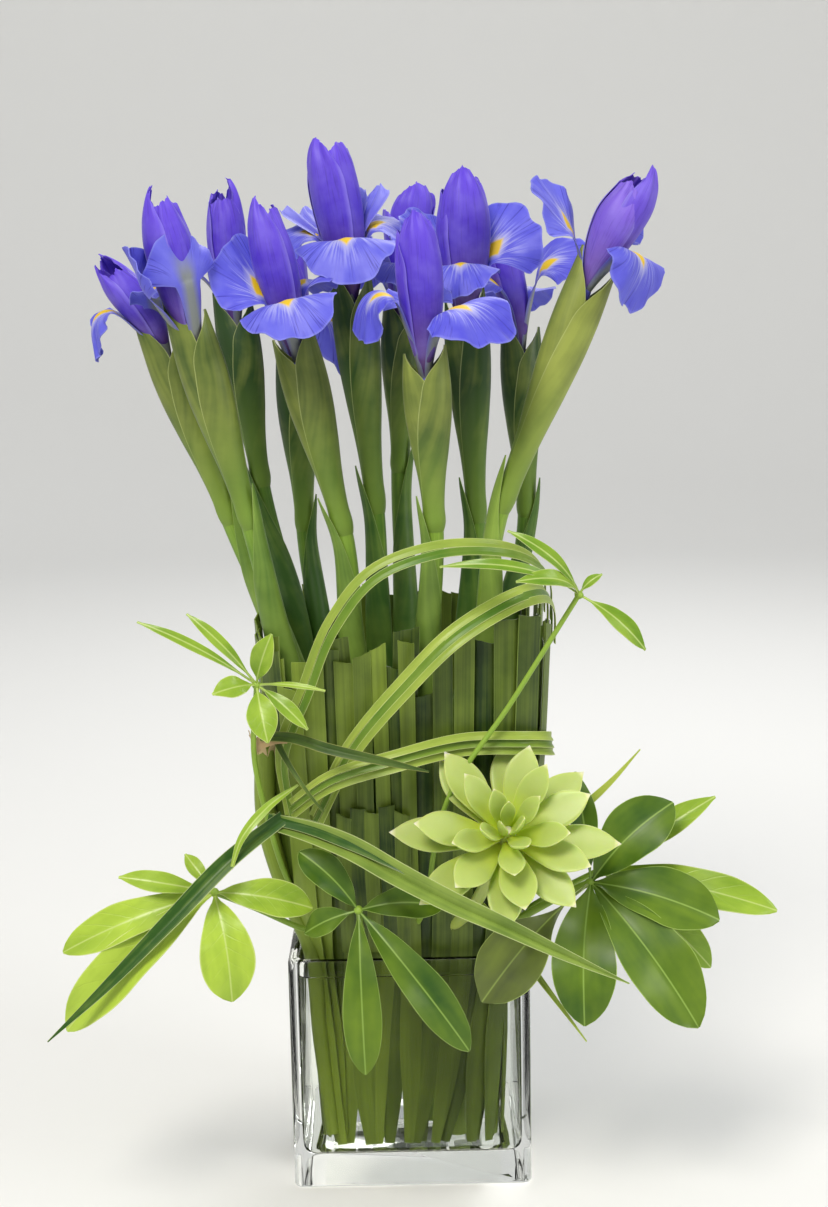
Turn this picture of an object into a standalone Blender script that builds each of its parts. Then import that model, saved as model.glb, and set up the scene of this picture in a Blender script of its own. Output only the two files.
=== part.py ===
"""Cut irises in a glass cube vase, with a bundle of strap leaves, grass loops,
umbrella-tree whorls and an echeveria. Lengths below are in millimetres; the
meshes are made in metres. +Z is up, -Y is the front, and the origin is the
middle of the vase's underside."""
import math
import random

import bmesh
import bpy
from mathutils import Vector

MM = 0.001
GAP = 0.35                      # clear space between two solids that lie together
FLOOR = 16.0                    # top of the vase's base
LEVEL = 114.0                   # top of the water
SUNK = 84.0                     # lower ends of the stalks pushed through the bundle

COLOURS = {
    "vase_glass": ("DCE6E4", 0.05),
    "water_clear": ("C9DAD2", 0.05),
    "strap_green": ("3B5A1B", 0.45),
    "stem_green": ("6B8440", 0.5),
    "petal_blue": ("5B55D6", 0.55),
    "grass_lime": ("A8BE48", 0.45),
    "blade_green": ("5A7A2C", 0.45),
    "torn_olive": ("55642A", 0.6),
    "leaf_bright": ("8CBE38", 0.4),
    "leaf_dark": ("3C6E24", 0.35),
    "rosette_pale": ("B4CC5A", 0.45),
}


def v(*xyz):
    return Vector(xyz)


def mix(a, b, t):
    return a + (b - a) * t


def along(table, x):
    """Straight-line interpolation in a table of (x, y) rows."""
    for (x0, y0), (x1, y1) in zip(table, table[1:]):
        if x <= x1:
            return mix(y0, y1, (x - x0) / (x1 - x0))
    return table[-1][1]


def material(name):
    mat = bpy.data.materials.get(name)
    if mat is None:
        code, rough = COLOURS[name]
        mat = bpy.data.materials.new(name)
        mat.use_nodes = True
        node = mat.node_tree.nodes["Principled BSDF"]
        rgb = [int(code[i:i + 2], 16) / 255 for i in (0, 2, 4)]
        node.inputs["Base Color"].default_value = [c ** 2.2 for c in rgb] + [1]
        node.inputs["Roughness"].default_value = rough
        node.inputs["Metallic"].default_value = 0
    return mat


# ------------------------------------------------------------------ solids

def solid(name, points, faces):
    """An object from points in millimetres and faces that look outward."""
    mesh = bpy.data.meshes.new(name)
    mesh.from_pydata([p * MM for p in points], [], faces)
    mesh.validate()
    obj = bpy.data.objects.new(name, mesh)
    bpy.context.scene.collection.objects.link(obj)
    return obj


def sheet(rows, thick):
    """A thin closed leaf over a grid of points, split alike on both faces."""
    n, m = len(rows), len(rows[0])
    upper, lower = [], []
    for i in range(n):
        for j in range(m):
            du = rows[min(i + 1, n - 1)][j] - rows[max(i - 1, 0)][j]
            dv = rows[i][min(j + 1, m - 1)] - rows[i][max(j - 1, 0)]
            out = du.cross(dv).normalized() * (thick / 2)
            upper.append(rows[i][j] + out)
            lower.append(rows[i][j] - out)
    faces = []
    back = n * m
    for i in range(n - 1):
        for j in range(m - 1):
            a, b = i * m + j, i * m + j + 1
            c, d = b + m, a + m
            for tri in ((a, d, c), (a, c, b)):
                faces.append(tri)
                faces.append(tuple(back + k for k in reversed(tri)))
    rim = [j for j in range(m)]
    rim += [i * m + m - 1 for i in range(1, n)]
    rim += [(n - 1) * m + j for j in range(m - 2, -1, -1)]
    rim += [i * m for i in range(n - 2, 0, -1)]
    for a, b in zip(rim, rim[1:] + rim[:1]):
        faces.append((a, b, back + b))
        faces.append((a, back + b, back + a))
    return solid("sheet", upper + lower, faces)


def rod(path, sizes, sides=6, hint=None, tip=False):
    """A closed bar along a path; sizes are (half width, half depth) for each
    point, the width lying along the hint. A tip ends in a point."""
    hint = hint or v(1, 0, 0)
    points, faces = [], []
    count = len(path) - (1 if tip else 0)
    for i in range(count):
        t = (path[min(i + 1, len(path) - 1)] - path[max(i - 1, 0)]).normalized()
        side = (hint - t * hint.dot(t)).normalized()
        front = t.cross(side)
        w, d = sizes[i] if isinstance(sizes[i], tuple) else (sizes[i], sizes[i])
        for k in range(sides):
            a = 2 * math.pi * k / sides
            points.append(path[i] + side * (w * math.cos(a)) + front * (d * math.sin(a)))
    for i in range(count - 1):
        for k in range(sides):
            a, b = i * sides + k, i * sides + (k + 1) % sides
            faces += [(a, b, b + sides), (a, b + sides, a + sides)]
    faces.append(tuple(reversed(range(sides))))
    last = (count - 1) * sides
    if tip:
        points.append(path[-1])
        for k in range(sides):
            faces.append((last + k, last + (k + 1) % sides, len(points) - 1))
    else:
        faces.append(tuple(range(last, last + sides)))
    return solid("rod", points, faces)


def boolean(obj, others, kind, solver="MANIFOLD"):
    """One Boolean of an object with a collection, applied; the rest removed."""
    group = bpy.data.collections.new("tools")
    for other in others:
        group.objects.link(other)
    mod = obj.modifiers.new("boolean", "BOOLEAN")
    mod.operation = kind
    mod.operand_type = "COLLECTION"
    mod.collection = group
    mod.solver = solver
    bpy.context.view_layer.objects.active = obj
    bpy.ops.object.modifier_apply(modifier=mod.name)
    for other in others:
        bpy.data.objects.remove(other)
    bpy.data.collections.remove(group)
    return obj


def collapse(bm, limit):
    """Take out edges shorter than the limit wherever the surface stays whole."""
    for _ in range(3):
        for edge in [e for e in bm.edges if e.calc_length() < limit]:
            if not edge.is_valid:
                continue
            a, b = edge.verts
            near = [{e.other_vert(x) for e in x.link_edges} for x in (a, b)]
            if len(near[0] & near[1]) != 2:
                continue
            safe = True
            for face in b.link_faces:
                if a in face.verts:
                    continue
                p = [a.co if x is b else x.co for x in face.verts]
                cross = (p[1] - p[0]).cross(p[2] - p[0])
                size = max((p[1] - p[0]).length, (p[2] - p[1]).length, (p[0] - p[2]).length)
                if cross.length < size * 0.1 * limit or cross.normalized().dot(face.normal) < 0.94:
                    safe = False
            if safe:
                bmesh.ops.weld_verts(bm, targetmap={b: a})
                bm.normal_update()


def largest(obj):
    """Keep the largest connected part of a mesh, and make it triangles."""
    bm = bmesh.new()
    bm.from_mesh(obj.data)
    bmesh.ops.triangulate(bm, faces=bm.faces[:])
    left, parts = set(bm.verts), []
    while left:
        seed = left.pop()
        part, queue = {seed}, [seed]
        while queue:
            for edge in queue.pop().link_edges:
                for vert in edge.verts:
                    if vert in left:
                        left.discard(vert)
                        part.add(vert)
                        queue.append(vert)
        parts.append(part)
    parts.sort(key=len)
    bmesh.ops.delete(bm, geom=[x for part in parts[:-1] for x in part], context="VERTS")
    bm.normal_update()
    collapse(bm, 0.5 * MM)
    bm.to_mesh(obj.data)
    bm.free()
    return obj


def finish(obj, name, mat):
    """Name the object and its mesh and give it its one material."""
    obj.name = name
    obj.data.name = name
    obj.data.materials.clear()
    obj.data.materials.append(material(mat))
    for poly in obj.data.polygons:
        poly.material_index = 0
    return obj


def fuse(name, parts, mat):
    if len(parts) > 1:
        boolean(parts[0], parts[1:], "UNION")
    return finish(largest(parts[0]), name, mat)


# ------------------------------------------------------------------ curves

def curve(points, count):
    """Evenly shared points on a smooth curve through the given ones."""
    pts = [points[0] * 2 - points[1]] + list(points) + [points[-1] * 2 - points[-2]]
    fine = []
    for i in range(1, len(pts) - 2):
        p0, p1, p2, p3 = pts[i - 1:i + 3]
        for k in range(12):
            t = k / 12
            fine.append(((p1 * 2) + (p2 - p0) * t + (p0 * 2 - p1 * 5 + p2 * 4 - p3) * t * t
                         + (p1 * 3 - p0 - p2 * 3 + p3) * t ** 3) * 0.5)
    fine.append(points[-1].copy())
    run = [0.0]
    for a, b in zip(fine, fine[1:]):
        run.append(run[-1] + (b - a).length)
    out, k = [], 0
    for i in range(count):
        goal = run[-1] * i / (count - 1)
        while k < len(run) - 2 and run[k + 1] < goal:
            k += 1
        out.append(mix(fine[k], fine[k + 1], (goal - run[k]) / max(run[k + 1] - run[k], 1e-9)))
    return out


def ribbon(points, widths, facing, count=10, thick=0.9, crease=0.0):
    """A strap leaf along a curve: widths is a table over its length."""
    path = curve(points, count)
    rows = []
    for i, p in enumerate(path):
        t = (path[min(i + 1, count - 1)] - path[max(i - 1, 0)]).normalized()
        side = t.cross(facing).normalized()
        up = side.cross(t)
        w = along(widths, i / (count - 1)) / 2
        if crease:
            rows.append([p - side * w, p - up * (crease * w), p + side * w])
        else:
            rows.append([p - side * w, p + side * w])
    return sheet(rows, thick)


def rounded(share, half, corner=0.42):
    """Point and outward direction on a rounded square, from the front middle."""
    flat, r = half * (1 - corner), half * corner
    arc = math.pi * r / 2
    run = (share % 1.0) * (8 * flat + 4 * arc) + flat
    turn, run = divmod(run, 2 * flat + arc)
    if run <= 2 * flat:
        p, n = v(run - flat, -half, 0), v(0, -1, 0)
    else:
        a = (run - 2 * flat) / r
        n = v(math.sin(a), -math.cos(a), 0)
        p = v(flat, -flat, 0) + n * r
    c, s = [(1, 0), (0, 1), (-1, 0), (0, -1)][int(turn) % 4]
    return (v(p.x * c - p.y * s, p.x * s + p.y * c, 0),
            v(n.x * c - n.y * s, n.x * s + n.y * c, 0))


# ------------------------------------------------------------------ vase, water, bundle

FLARE = [(16, 50), (126, 55.4), (160, 66), (220, 71.5), (300, 76)]


def loops(rings):
    """A closed solid from rings of points given from the outside bottom on."""
    n = len(rings[0])
    points = [p for ring in rings for p in ring]
    faces = []
    for i in range(len(rings) - 1):
        for k in range(n):
            a, b = i * n + k, i * n + (k + 1) % n
            faces.append((a, b, b + n, a + n))
    faces.append(tuple(reversed(range(n))))
    faces.append(tuple(range((len(rings) - 1) * n, len(rings) * n)))
    return solid("loops", points, faces)


def square_ring(half, radius, z, per_corner=4):
    ring = []
    for c, (sx, sy) in enumerate([(1, -1), (1, 1), (-1, 1), (-1, -1)]):
        for k in range(per_corner + 1):
            a = math.radians(-90 + 90 * c + 90 * k / per_corner)
            ring.append(v(sx * (half - radius) + radius * math.cos(a),
                          sy * (half - radius) + radius * math.sin(a), z))
    return ring


def make_vase():
    rings = [square_ring(61.3, 4.0, 0), square_ring(62.5, 5.0, 1.3),
             square_ring(62.5, 5.0, 123.8), square_ring(61.6, 4.4, 125),
             square_ring(58.4, 7.6, 125), square_ring(57.5, 7.0, 123.9),
             square_ring(57.5, 7.0, FLOOR + 7), square_ring(55.6, 6.5, FLOOR + 2.2),
             square_ring(51.5, 5.0, FLOOR)]
    finish(loops(rings), "vase", "vase_glass")


def make_water(stems, stalks):
    """Water inside the glass, with a groove where the bundle stands and a
    plain hole for each stem."""
    rings = [square_ring(51.0, 5.0, FLOOR + GAP), square_ring(55.2, 6.3, FLOOR + 2.6),
             square_ring(57.0, 6.8, FLOOR + 7.2), square_ring(57.0, 6.8, LEVEL)]
    body = loops(rings)
    tools = []
    top = LEVEL + 4
    outer, inner = [], []
    for z, more in ((FLOOR + 3.6, -1), (top, 1)):
        half = along(FLARE, z)
        outer.append(square_ring(half + 1.3, 0.42 * half, z, 3))
        inner.append(square_ring(half - 5.6, 0.40 * half, z + more, 3))
    tools.append(boolean(loops(outer), [loops(inner)], "DIFFERENCE"))
    for low, group in ((FLOOR + 1.2, stems), (SUNK - 0.6, stalks)):
        for x, y, r in group:
            tools.append(rod([v(x, y, low), v(x, y, top)], [(r + 0.3) / 0.866] * 2, 6))
    finish(largest(boolean(body, tools, "DIFFERENCE")), "water", "water_clear")


def blade_top(x, y):
    """How high the bundle's cut ends are at a place round it."""
    if y < -45 and (abs(x + 27) < 7 or abs(x - 13) < 7):
        return 246                            # stems stand in front here
    return 288 + 14 * max(0, min(1, (x - 16) / 20)) + 5 * (y > 0)


def make_bundle(stalks):
    """One ring of shingled strap leaves. Each leaf is a facet with a step to
    the next one, and above the tie each has a free, cut end of its own."""
    rng = random.Random(7)
    count, levels = 34, (FLOOR + 4.2, 126, 160, 222)
    shares = [(i + rng.uniform(-0.22, 0.22)) / count for i in range(count)] + [0]
    shares[-1] = shares[0] + 1
    points, faces = [], []

    def four(i, z, pinch, out, low=0.0):
        half = along(FLARE, z)
        gap = 1.1 / (half * 7.3)
        a, b = shares[i] + gap / 2, shares[i + 1] - gap / 2
        c = (a + b) / 2
        a, b = mix(a, c, pinch), mix(b, c, pinch)
        rows = ((a, 0.3), (b, -1.2), (b, -3.6), (a, -3.9))
        made = []
        for share, depth in rows:
            p, n = rounded(share, half)
            tilt = low * (1 if share is a else -1)
            made.append(p + n * (depth + out) + v(0, 0, z + tilt))
        return made

    for z in levels:
        for i in range(count):
            points += four(i, z, 0.0, 0.0)
    size = 4 * count
    for i in range(count):
        j = (i + 1) % count
        quad = [4 * i, 4 * i + 1, 4 * i + 2, 4 * i + 3]
        step = [4 * i + 1, 4 * j, 4 * j + 3, 4 * i + 2]
        for level in range(len(levels) - 1):
            o = level * size
            for a, b in ((quad[0], quad[1]), (step[0], step[1]), (quad[2], quad[3]), (step[2], step[3])):
                faces += [(o + a, o + b, o + b + size), (o + a, o + b + size, o + a + size)]
        faces += [tuple(reversed(quad)), tuple(reversed(step))]
        o = (len(levels) - 1) * size
        faces.append(tuple(o + k for k in step))
        base = [o + k for k in quad]
        place = rounded((shares[i] + shares[i + 1]) / 2, 70)[0]
        high = blade_top(place.x, place.y) + rng.uniform(-4, 4)
        lean = rng.uniform(-0.6, 2.2)
        for z, pinch, out, low in ((mix(222, high, 0.5), 0.04, lean * 0.4, 0),
                                   (high, 0.10, lean, rng.uniform(-1.8, 1.8))):
            top = list(range(len(points), len(points) + 4))
            points += four(i, z, pinch, out, low)
            for k in range(4):
                a, b = k, (k + 1) % 4
                faces += [(base[a], base[b], top[b]), (base[a], top[b], top[a])]
            base = top
        faces.append(tuple(base))
    body = solid("bundle", points, faces)
    extra = []
    for i in range(7):                        # second, taller row at the back and sides
        share = 0.27 + 0.46 * (i + rng.uniform(-0.2, 0.2)) / 6
        high = 299 + rng.uniform(-4, 6)
        rows = []
        for z, depth in ((204, -1.6), (high, -7.5 + rng.uniform(-1, 1))):
            p, n = rounded(share, along(FLARE, z))
            side = v(-n.y, n.x, 0)
            mid = p + n * depth + v(0, 0, z)
            rows.append([mid - side * 6.5, mid + side * 6.5])
        extra.append(sheet(rows, 0.9))
    boolean(body, extra, "UNION")
    tools = [rod(path, [1.06 * r + 1.7 * GAP] * len(path), 5) for path, r in stalks]
    finish(largest(boolean(body, tools, "DIFFERENCE")), "strap_bundle", "strap_green")


# ------------------------------------------------------------------ irises

def arch(start, out, up, length, e0, e1, mid=0.5):
    """Sampler of a petal's midline: point, tangent and upper normal at s."""
    steps, rows, p = 40, [], start.copy()
    for k in range(steps + 1):
        s = k / steps
        x = min(1, max(0, (s - mid) * 1.6 + 0.5))
        e = math.radians(mix(e0, e1, x * x * (3 - 2 * x)))
        t = out * math.cos(e) + up * math.sin(e)
        rows.append((p.copy(), t, up * math.cos(e) - out * math.sin(e)))
        p += t * (length / steps)
    return lambda s: rows[min(steps, int(round(s * steps)))]


def petal(start, out, up, length, e0, e1, widths, cup, cols=5, mid=0.5, thick=0.9, wave=0.0):
    at = arch(start, out, up, length, e0, e1, mid)
    side = out.cross(up).normalized()
    rows = []
    for i, (s, w) in enumerate(widths):
        p, t, n = at(s)
        row = []
        for j in range(cols):
            a = 2 * j / (cols - 1) - 1
            bow = cup * w * a * a + wave * w * (1 if (i + j) % 2 else -1) * abs(a)
            row.append(p + side * (a * w / 2) + n * bow - t * (0.10 * w * a * a))
        rows.append(row)
    return sheet(rows, thick)


FALL = ((0, 4.4), (0.36, 11), (0.68, 43), (1, 24))
STANDARD = ((0, 4.2), (0.36, 9), (0.74, 25), (1, 10))
CREST = ((0, 2.4), (1, 5))


def frame_of(base, tip):
    """Axis of a stem's end, with level directions to its right and its back."""
    up = (tip - base).normalized()
    right = (v(1, 0, 0) - up * up.x).normalized()
    return up, right, up.cross(right)


# Each bloom: falls and standards as (azimuth, length, first angle, last angle,
# width share), azimuth 0 to the right and 90 to the back.
BACK_STANDARDS = [(az, 62, 81, 92, 1.0) for az in (30, 150, 270)]

IRISES = [
    ("far_left", (-37, -6), (-58, -14, 282), (-88, -18, 350), (-119, -19, 440),
     ([(184, 58, 62, -84, 0.72), (292, 44, 80, -34, 0.62), (60, 36, 84, 40, 0.5)],
      [(180, 38, 78, 84, 0.7), (300, 36, 82, 92, 0.7), (60, 36, 82, 92, 0.6)], False)),
    ("left_bud", (-36, -25), (-57, -42, 284), (-75, -50, 352), (-99, -58, 444),
     ([(205, 62, 84, 64, 0.72), (318, 60, 86, 66, 0.8), (70, 58, 84, 70, 0.7)],
      [(250, 60, 86, 96, 0.75), (10, 66, 84, 84, 0.7), (140, 64, 84, 90, 0.7)], False)),
    ("left_back", (-36, 12), (-57, 30, 282), (-76, 40, 362), (-88, 48, 452),
     ([(190, 70, 74, -58, 1.0), (310, 70, 74, -58, 1.0), (70, 56, 80, 20, 0.8)], BACK_STANDARDS, False)),
    ("left_ragged", (-17, -28), (-24, -36, 270), (-29, -38, 346), (-50, -42, 438),
     ([(172, 58, 82, 30, 0.95), (290, 66, 74, -56, 1.0), (60, 50, 82, 40, 0.6)],
      [(225, 60, 84, 96, 0.9), (345, 58, 82, 90, 0.8), (110, 62, 82, 92, 0.8)], True)),
    ("mid_back", (-18, 20), (-46, 46, 276), (-54, 62, 334), (-57, 70, 424),
     ([(284, 72, 74, -52, 0.95), (28, 70, 74, -50, 1.0), (135, 54, 80, 20, 0.7)], BACK_STANDARDS, False)),
    ("tallest", (-14, -4), (-12, -2, 270), (-13, 2, 352), (-23, 5, 466),
     ([(270, 74, 74, -62, 1.05), (168, 58, 76, -16, 0.85), (24, 58, 76, -20, 0.85)],
      [(90, 66, 84, 92, 1.05), (212, 66, 84, 93, 1.05), (330, 66, 84, 93, 1.05)], True)),
    ("right_back", (2, 24), (2, 44, 272), (0, 60, 366), (3, 68, 450),
     ([(90, 70, 74, -56, 1.0), (212, 68, 74, -56, 1.0), (318, 58, 76, -50, 0.85)], BACK_STANDARDS, False)),
    ("front", (3, -28), (12, -54, 272), (17, -63, 350), (14, -67, 430),
     ([(343, 70, 74, -52, 1.05), (196, 60, 76, -70, 0.85), (95, 56, 80, 10, 0.6)],
      [(270, 64, 85, 94, 0.8), (30, 60, 85, 95, 0.75), (150, 64, 85, 95, 0.75)], True)),
    ("right_mid", (10, -2), (34, 0, 270), (40, 2, 346), (36, 4, 452),
     ([(268, 64, 76, -40, 0.95), (18, 66, 72, 4, 0.95), (152, 54, 76, -30, 0.75)],
      [(90, 66, 84, 92, 0.95), (210, 64, 84, 93, 0.95), (335, 64, 84, 93, 0.95)], True)),
    ("right_far_back", (26, 20), (57, 43, 274), (70, 58, 340), (68, 66, 436),
     ([(335, 72, 72, -40, 1.0), (85, 66, 74, -50, 0.9), (195, 44, 82, 55, 0.6)], BACK_STANDARDS, False)),
    ("far_right", (24, -26), (40, -32, 270), (52, -34, 356), (98, -34, 470),
     ([(186, 56, 92, 124, 0.62), (322, 64, 62, -74, 0.9), (70, 46, 78, 20, 0.6)],
      [(350, 52, 76, 84, 0.75), (110, 50, 82, 92, 0.65), (230, 50, 82, 92, 0.65)], False)),
]


def make_iris(name, foot, bend, base, top, flower):
    x, y = foot
    bend, base, top = Vector(bend), Vector(base), Vector(top)
    up, right, back = frame_of(base, top)
    # stem, two bracts and a sheathing leaf
    path = [v(x, y, FLOOR + 1.6), v(x, y, LEVEL + 6)]
    path += curve([v(x, y, LEVEL + 6), bend, base], 4)[1:]
    parts = [rod(path, [4.8] * len(path), 6)]
    shape = ((-0.03, 4, 4), (0.3, 8.8, 7), (0.68, 13, 8.5), (1, 7.5, 6))
    parts.append(rod([mix(base, top, s) for s, w, d in shape], [(w, d) for s, w, d in shape], 6, right))
    for sign in (-1, 1):
        rows = []
        for s, off, w in ((0.7, 9.5, 9), (0.98, 11.0, 13), (1.16, 12.5, 1.4)):
            p = mix(base, top, s) + right * (sign * off)
            rows.append([p - back * w / 2, p + back * w / 2])
        parts.append(sheet(rows, 1.0))
    sign = 1 if len(name) % 2 else -1
    rows = []
    for s, off, w in ((0.0, 3.6, 8), (0.55, 6.5, 9), (1.0, 15.0, 1.4)):
        p = mix(mix(bend, base, 0.1), mix(base, top, 0.3), s)
        q = p + right * (sign * off) - back * (1 + 2 * s)
        rows.append([q - back * w / 2, q + back * w / 2])
    parts.append(sheet(rows, 1.0))
    fuse("stem_" + name, parts, "stem_green")
    # bloom: each petal's foot is sunk in the short tube under it
    start = top + up * GAP
    parts = [rod([start, start + up * 11], [4.6, 8.6], 6, back)]
    falls, standards, style = flower
    for az, length, e0, e1, wide in falls:
        a = math.radians(az)
        out = right * math.cos(a) + back * math.sin(a)
        widths = [(s, w * (wide if s > 0.5 else 1)) for s, w in FALL]
        parts.append(petal(start + up * 7.5 + out * 4.8, out, up, length, e0, e1, widths, -0.10,
                           3 if "back" in name else 5))
        if style:
            parts.append(petal(start + up * 9 + out * 1.9, out, up, 36, 82, 50, CREST, 0.0, 2, 0.45))
    for az, length, e0, e1, wide in standards:
        a = math.radians(az)
        out = right * math.cos(a) + back * math.sin(a)
        widths = [(s, w * wide) for s, w in STANDARD]
        parts.append(petal(start + up * 8 + out * 4.6, out, up, length, e0, e1, widths, 0.16, 3))
    fuse("bloom_" + name, parts, "petal_blue")


# ------------------------------------------------------------------ leaves

LEAFLET = ((0, 0.06), (0.3, 0.66), (0.62, 1.0), (1, 0.06))
BROAD = ((0, 0.06), (0.24, 0.6), (0.52, 1.0), (0.8, 0.8), (1, 0.08))


def leaflet(centre, tip, width, bow=0.10, facing=None):
    """A leaf from a whorl's centre to its tip, creased and bowed."""
    facing = facing or v(0, -0.8, 0.6)
    run = tip - centre
    side = run.cross(facing).normalized()
    up = side.cross(run).normalized()
    rows = []
    start = 1.3 / run.length
    for s, share in BROAD if width > 15 else LEAFLET:
        s = start + (1 - start) * s
        p = mix(centre, tip, s) + up * (run.length * bow * 4 * s * (1 - s))
        w = max(width * share, 1.4) / 2
        rows.append([p - side * w + up * w * 0.22, p, p + side * w + up * w * 0.22])
    if width < 10:
        rows = [[row[0], row[2]] for row in rows]
    return sheet(rows, 0.8)


WHORLS = [
    ("whorl_left_mid", "leaf_bright", (-44, -34), 1.5,
     [(-50, -42, 140), (-62, -62, 172), (-69, -74, 205), (-74, -82, 240), (-71, -88, 277)],
     [(-127, -93, 310, 5.5), (-104, -85, 312, 6.5), (-62, -99, 304, 12), (-91, -104, 276, 12),
      (-37, -101, 276, 3), (-65, -106, 252, 15), (-46, -101, 257, 8)]),
    ("whorl_left_low", "leaf_bright", (-34, -43), 1.6,
     [(-42, -50, 134), (-56, -68, 146), (-76, -84, 162), (-95, -94, 174)],
     [(-141, -98, 184, 11), (-169, -104, 148, 19), (-168, -110, 110, 23), (-86, -114, 125, 29),
      (-47, -92, 164, 20), (-110, -82, 190, 8)]),
    ("whorl_mid_low", "leaf_dark", (-22, -43), 1.6,
     [(-23, -52, 134), (-24, -74, 149), (-24, -88, 158), (-24, -96, 164)],
     [(-53, -88, 192, 17), (-51, -92, 151, 14), (-22, -112, 85, 20), (29, -114, 97, 21), (18, -96, 165, 17)]),
    ("whorl_right_low", "leaf_dark", (36, -42), 2.2,
     [(46, -48, 134), (64, -60, 149), (80, -66, 160), (93, -72, 168)],
     [(135, -66, 207, 26), (86, -62, 223, 14), (155, -90, 153, 27), (142, -110, 105, 30),
      (86, -110, 107, 30), (30, -106, 130, 27)]),
    ("whorl_right_back", "leaf_bright", (43, -27), 1.6,
     [(53, -34, 134), (72, -42, 150), (100, -46, 166)],
     [(159, -50, 205, 14), (186, -78, 153, 20), (156, -58, 116, 20)]),
    ("whorl_young", "leaf_bright", (0, -43), 1.4,
     [(3, -52, 136), (10, -74, 160), (14, -83, 190), (20, -87, 214), (54, -84, 266), (87, -80, 317)],
     [(52, -88, 350, 7), (19, -94, 334, 6), (55, -100, 327, 9), (98, -82, 327, 5), (119, -82, 289, 10)]),
]


def stalk_path(foot, way):
    x, y = foot
    return [v(x, y, SUNK), v(x, y, LEVEL + 6)] + [Vector(p) for p in way]


def make_whorl(name, mat, foot, r, way, tips):
    path = stalk_path(foot, way)
    centre = path[-1]
    end = (centre - path[-2]).normalized()
    parts = [rod(path + [centre + end * 1.6], [r] * (len(path) - 1) + [2.4, 2.0], 5)]
    for x, y, z, width in tips:
        parts.append(leaflet(centre - v(0, 0, 0.2), v(x, y, z), width, 0.10 if z > 140 else 0.14))
    fuse(name, parts, mat)


ROSETTE_FOOT, ROSETTE_R = (14, -42), 3.2
ROSETTE_WAY = [(20, -51, 135), (33, -72, 156), (44, -86, 180), (52, -97, 200)]


def fleshy(centre, out, up, length, lift, width, thick):
    """A thick pointed leaf, keeled beneath."""
    e = math.radians(lift)
    run = out * math.cos(e) + up * math.sin(e)
    n = up * math.cos(e) - out * math.sin(e)
    side = run.cross(n)
    points, faces = [], []
    rows = ((0.0, 0.25, 0.8), (0.36, 0.80, 1.0), (0.66, 1.0, 0.85), (0.86, 0.62, 0.55))
    for s, w, t in rows:
        p = centre + run * (length * s) + n * (length * 0.16 * s * s)
        points += [p + side * width / 2 * w, p + n * thick * 0.30 * t,
                   p - side * width / 2 * w, p - n * thick * 0.70 * t]
    for i in range(len(rows) - 1):
        for k in range(4):
            a, b = 4 * i + k, 4 * i + (k + 1) % 4
            faces += [(a, b + 4, b), (a, a + 4, b + 4)]
    faces += [(0, 1, 2), (0, 2, 3)]
    points.append(centre + run * length + n * (length * 0.2))
    last = 4 * (len(rows) - 1)
    faces += [(last + (k + 1) % 4, last + k, len(points) - 1) for k in range(4)]
    return solid("fleshy", points, faces)


def make_rosette():
    path = stalk_path(ROSETTE_FOOT, ROSETTE_WAY)
    centre = path[-1]
    up = v(0.03, -0.88, 0.47).normalized()
    right, _ = v(1, 0, 0), None
    right = (right - up * up.x).normalized()
    high = up.cross(right) * -1
    parts = [rod(path + [centre + up * 3, centre + up * 14], [ROSETTE_R] * (len(path) - 1) + [6.0, 11.0, 5.0], 5)]
    tiers = ((9, 53, 10, 20, 5.5, 2.0, 8.0, -0.1), (7, 43, 30, 18, 5.0, 6.0, 6.5, 0.4),
             (5, 31, 50, 14, 4.5, 9.5, 5.0, 0.1), (3, 21, 76, 9, 4.0, 12.0, 2.2, 0.6))
    for count, length, lift, width, thick, rise, inset, phase in tiers:
        for k in range(count):
            a = 2 * math.pi * (k + phase) / count
            out = right * math.cos(a) + high * math.sin(a)
            parts.append(fleshy(centre + up * rise + out * inset, out, up,
                                (length - inset) * (1 + 0.06 * math.sin(5 * k)), lift, width, thick))
    fuse("echeveria", parts, "rosette_pale")


FRONT = Vector((0, -0.9, 0.45))
GRASS = ((0, 4), (0.5, 5.4), (0.85, 4.6), (1, 3.2))


def strand(points, shift, widths, count, crease=0.0):
    """A ribbon along points given as rows, moved aside by a shift."""
    return ribbon([Vector(p) + Vector(shift) for p in points], widths, FRONT, count, 0.9, crease)


def knot(a, b, r):
    """A short bar that joins the strands of a node where they leave the bundle."""
    return rod([Vector(a), Vector(b)], [r, r], 6, v(0.3, 1, 0.2))


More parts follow.
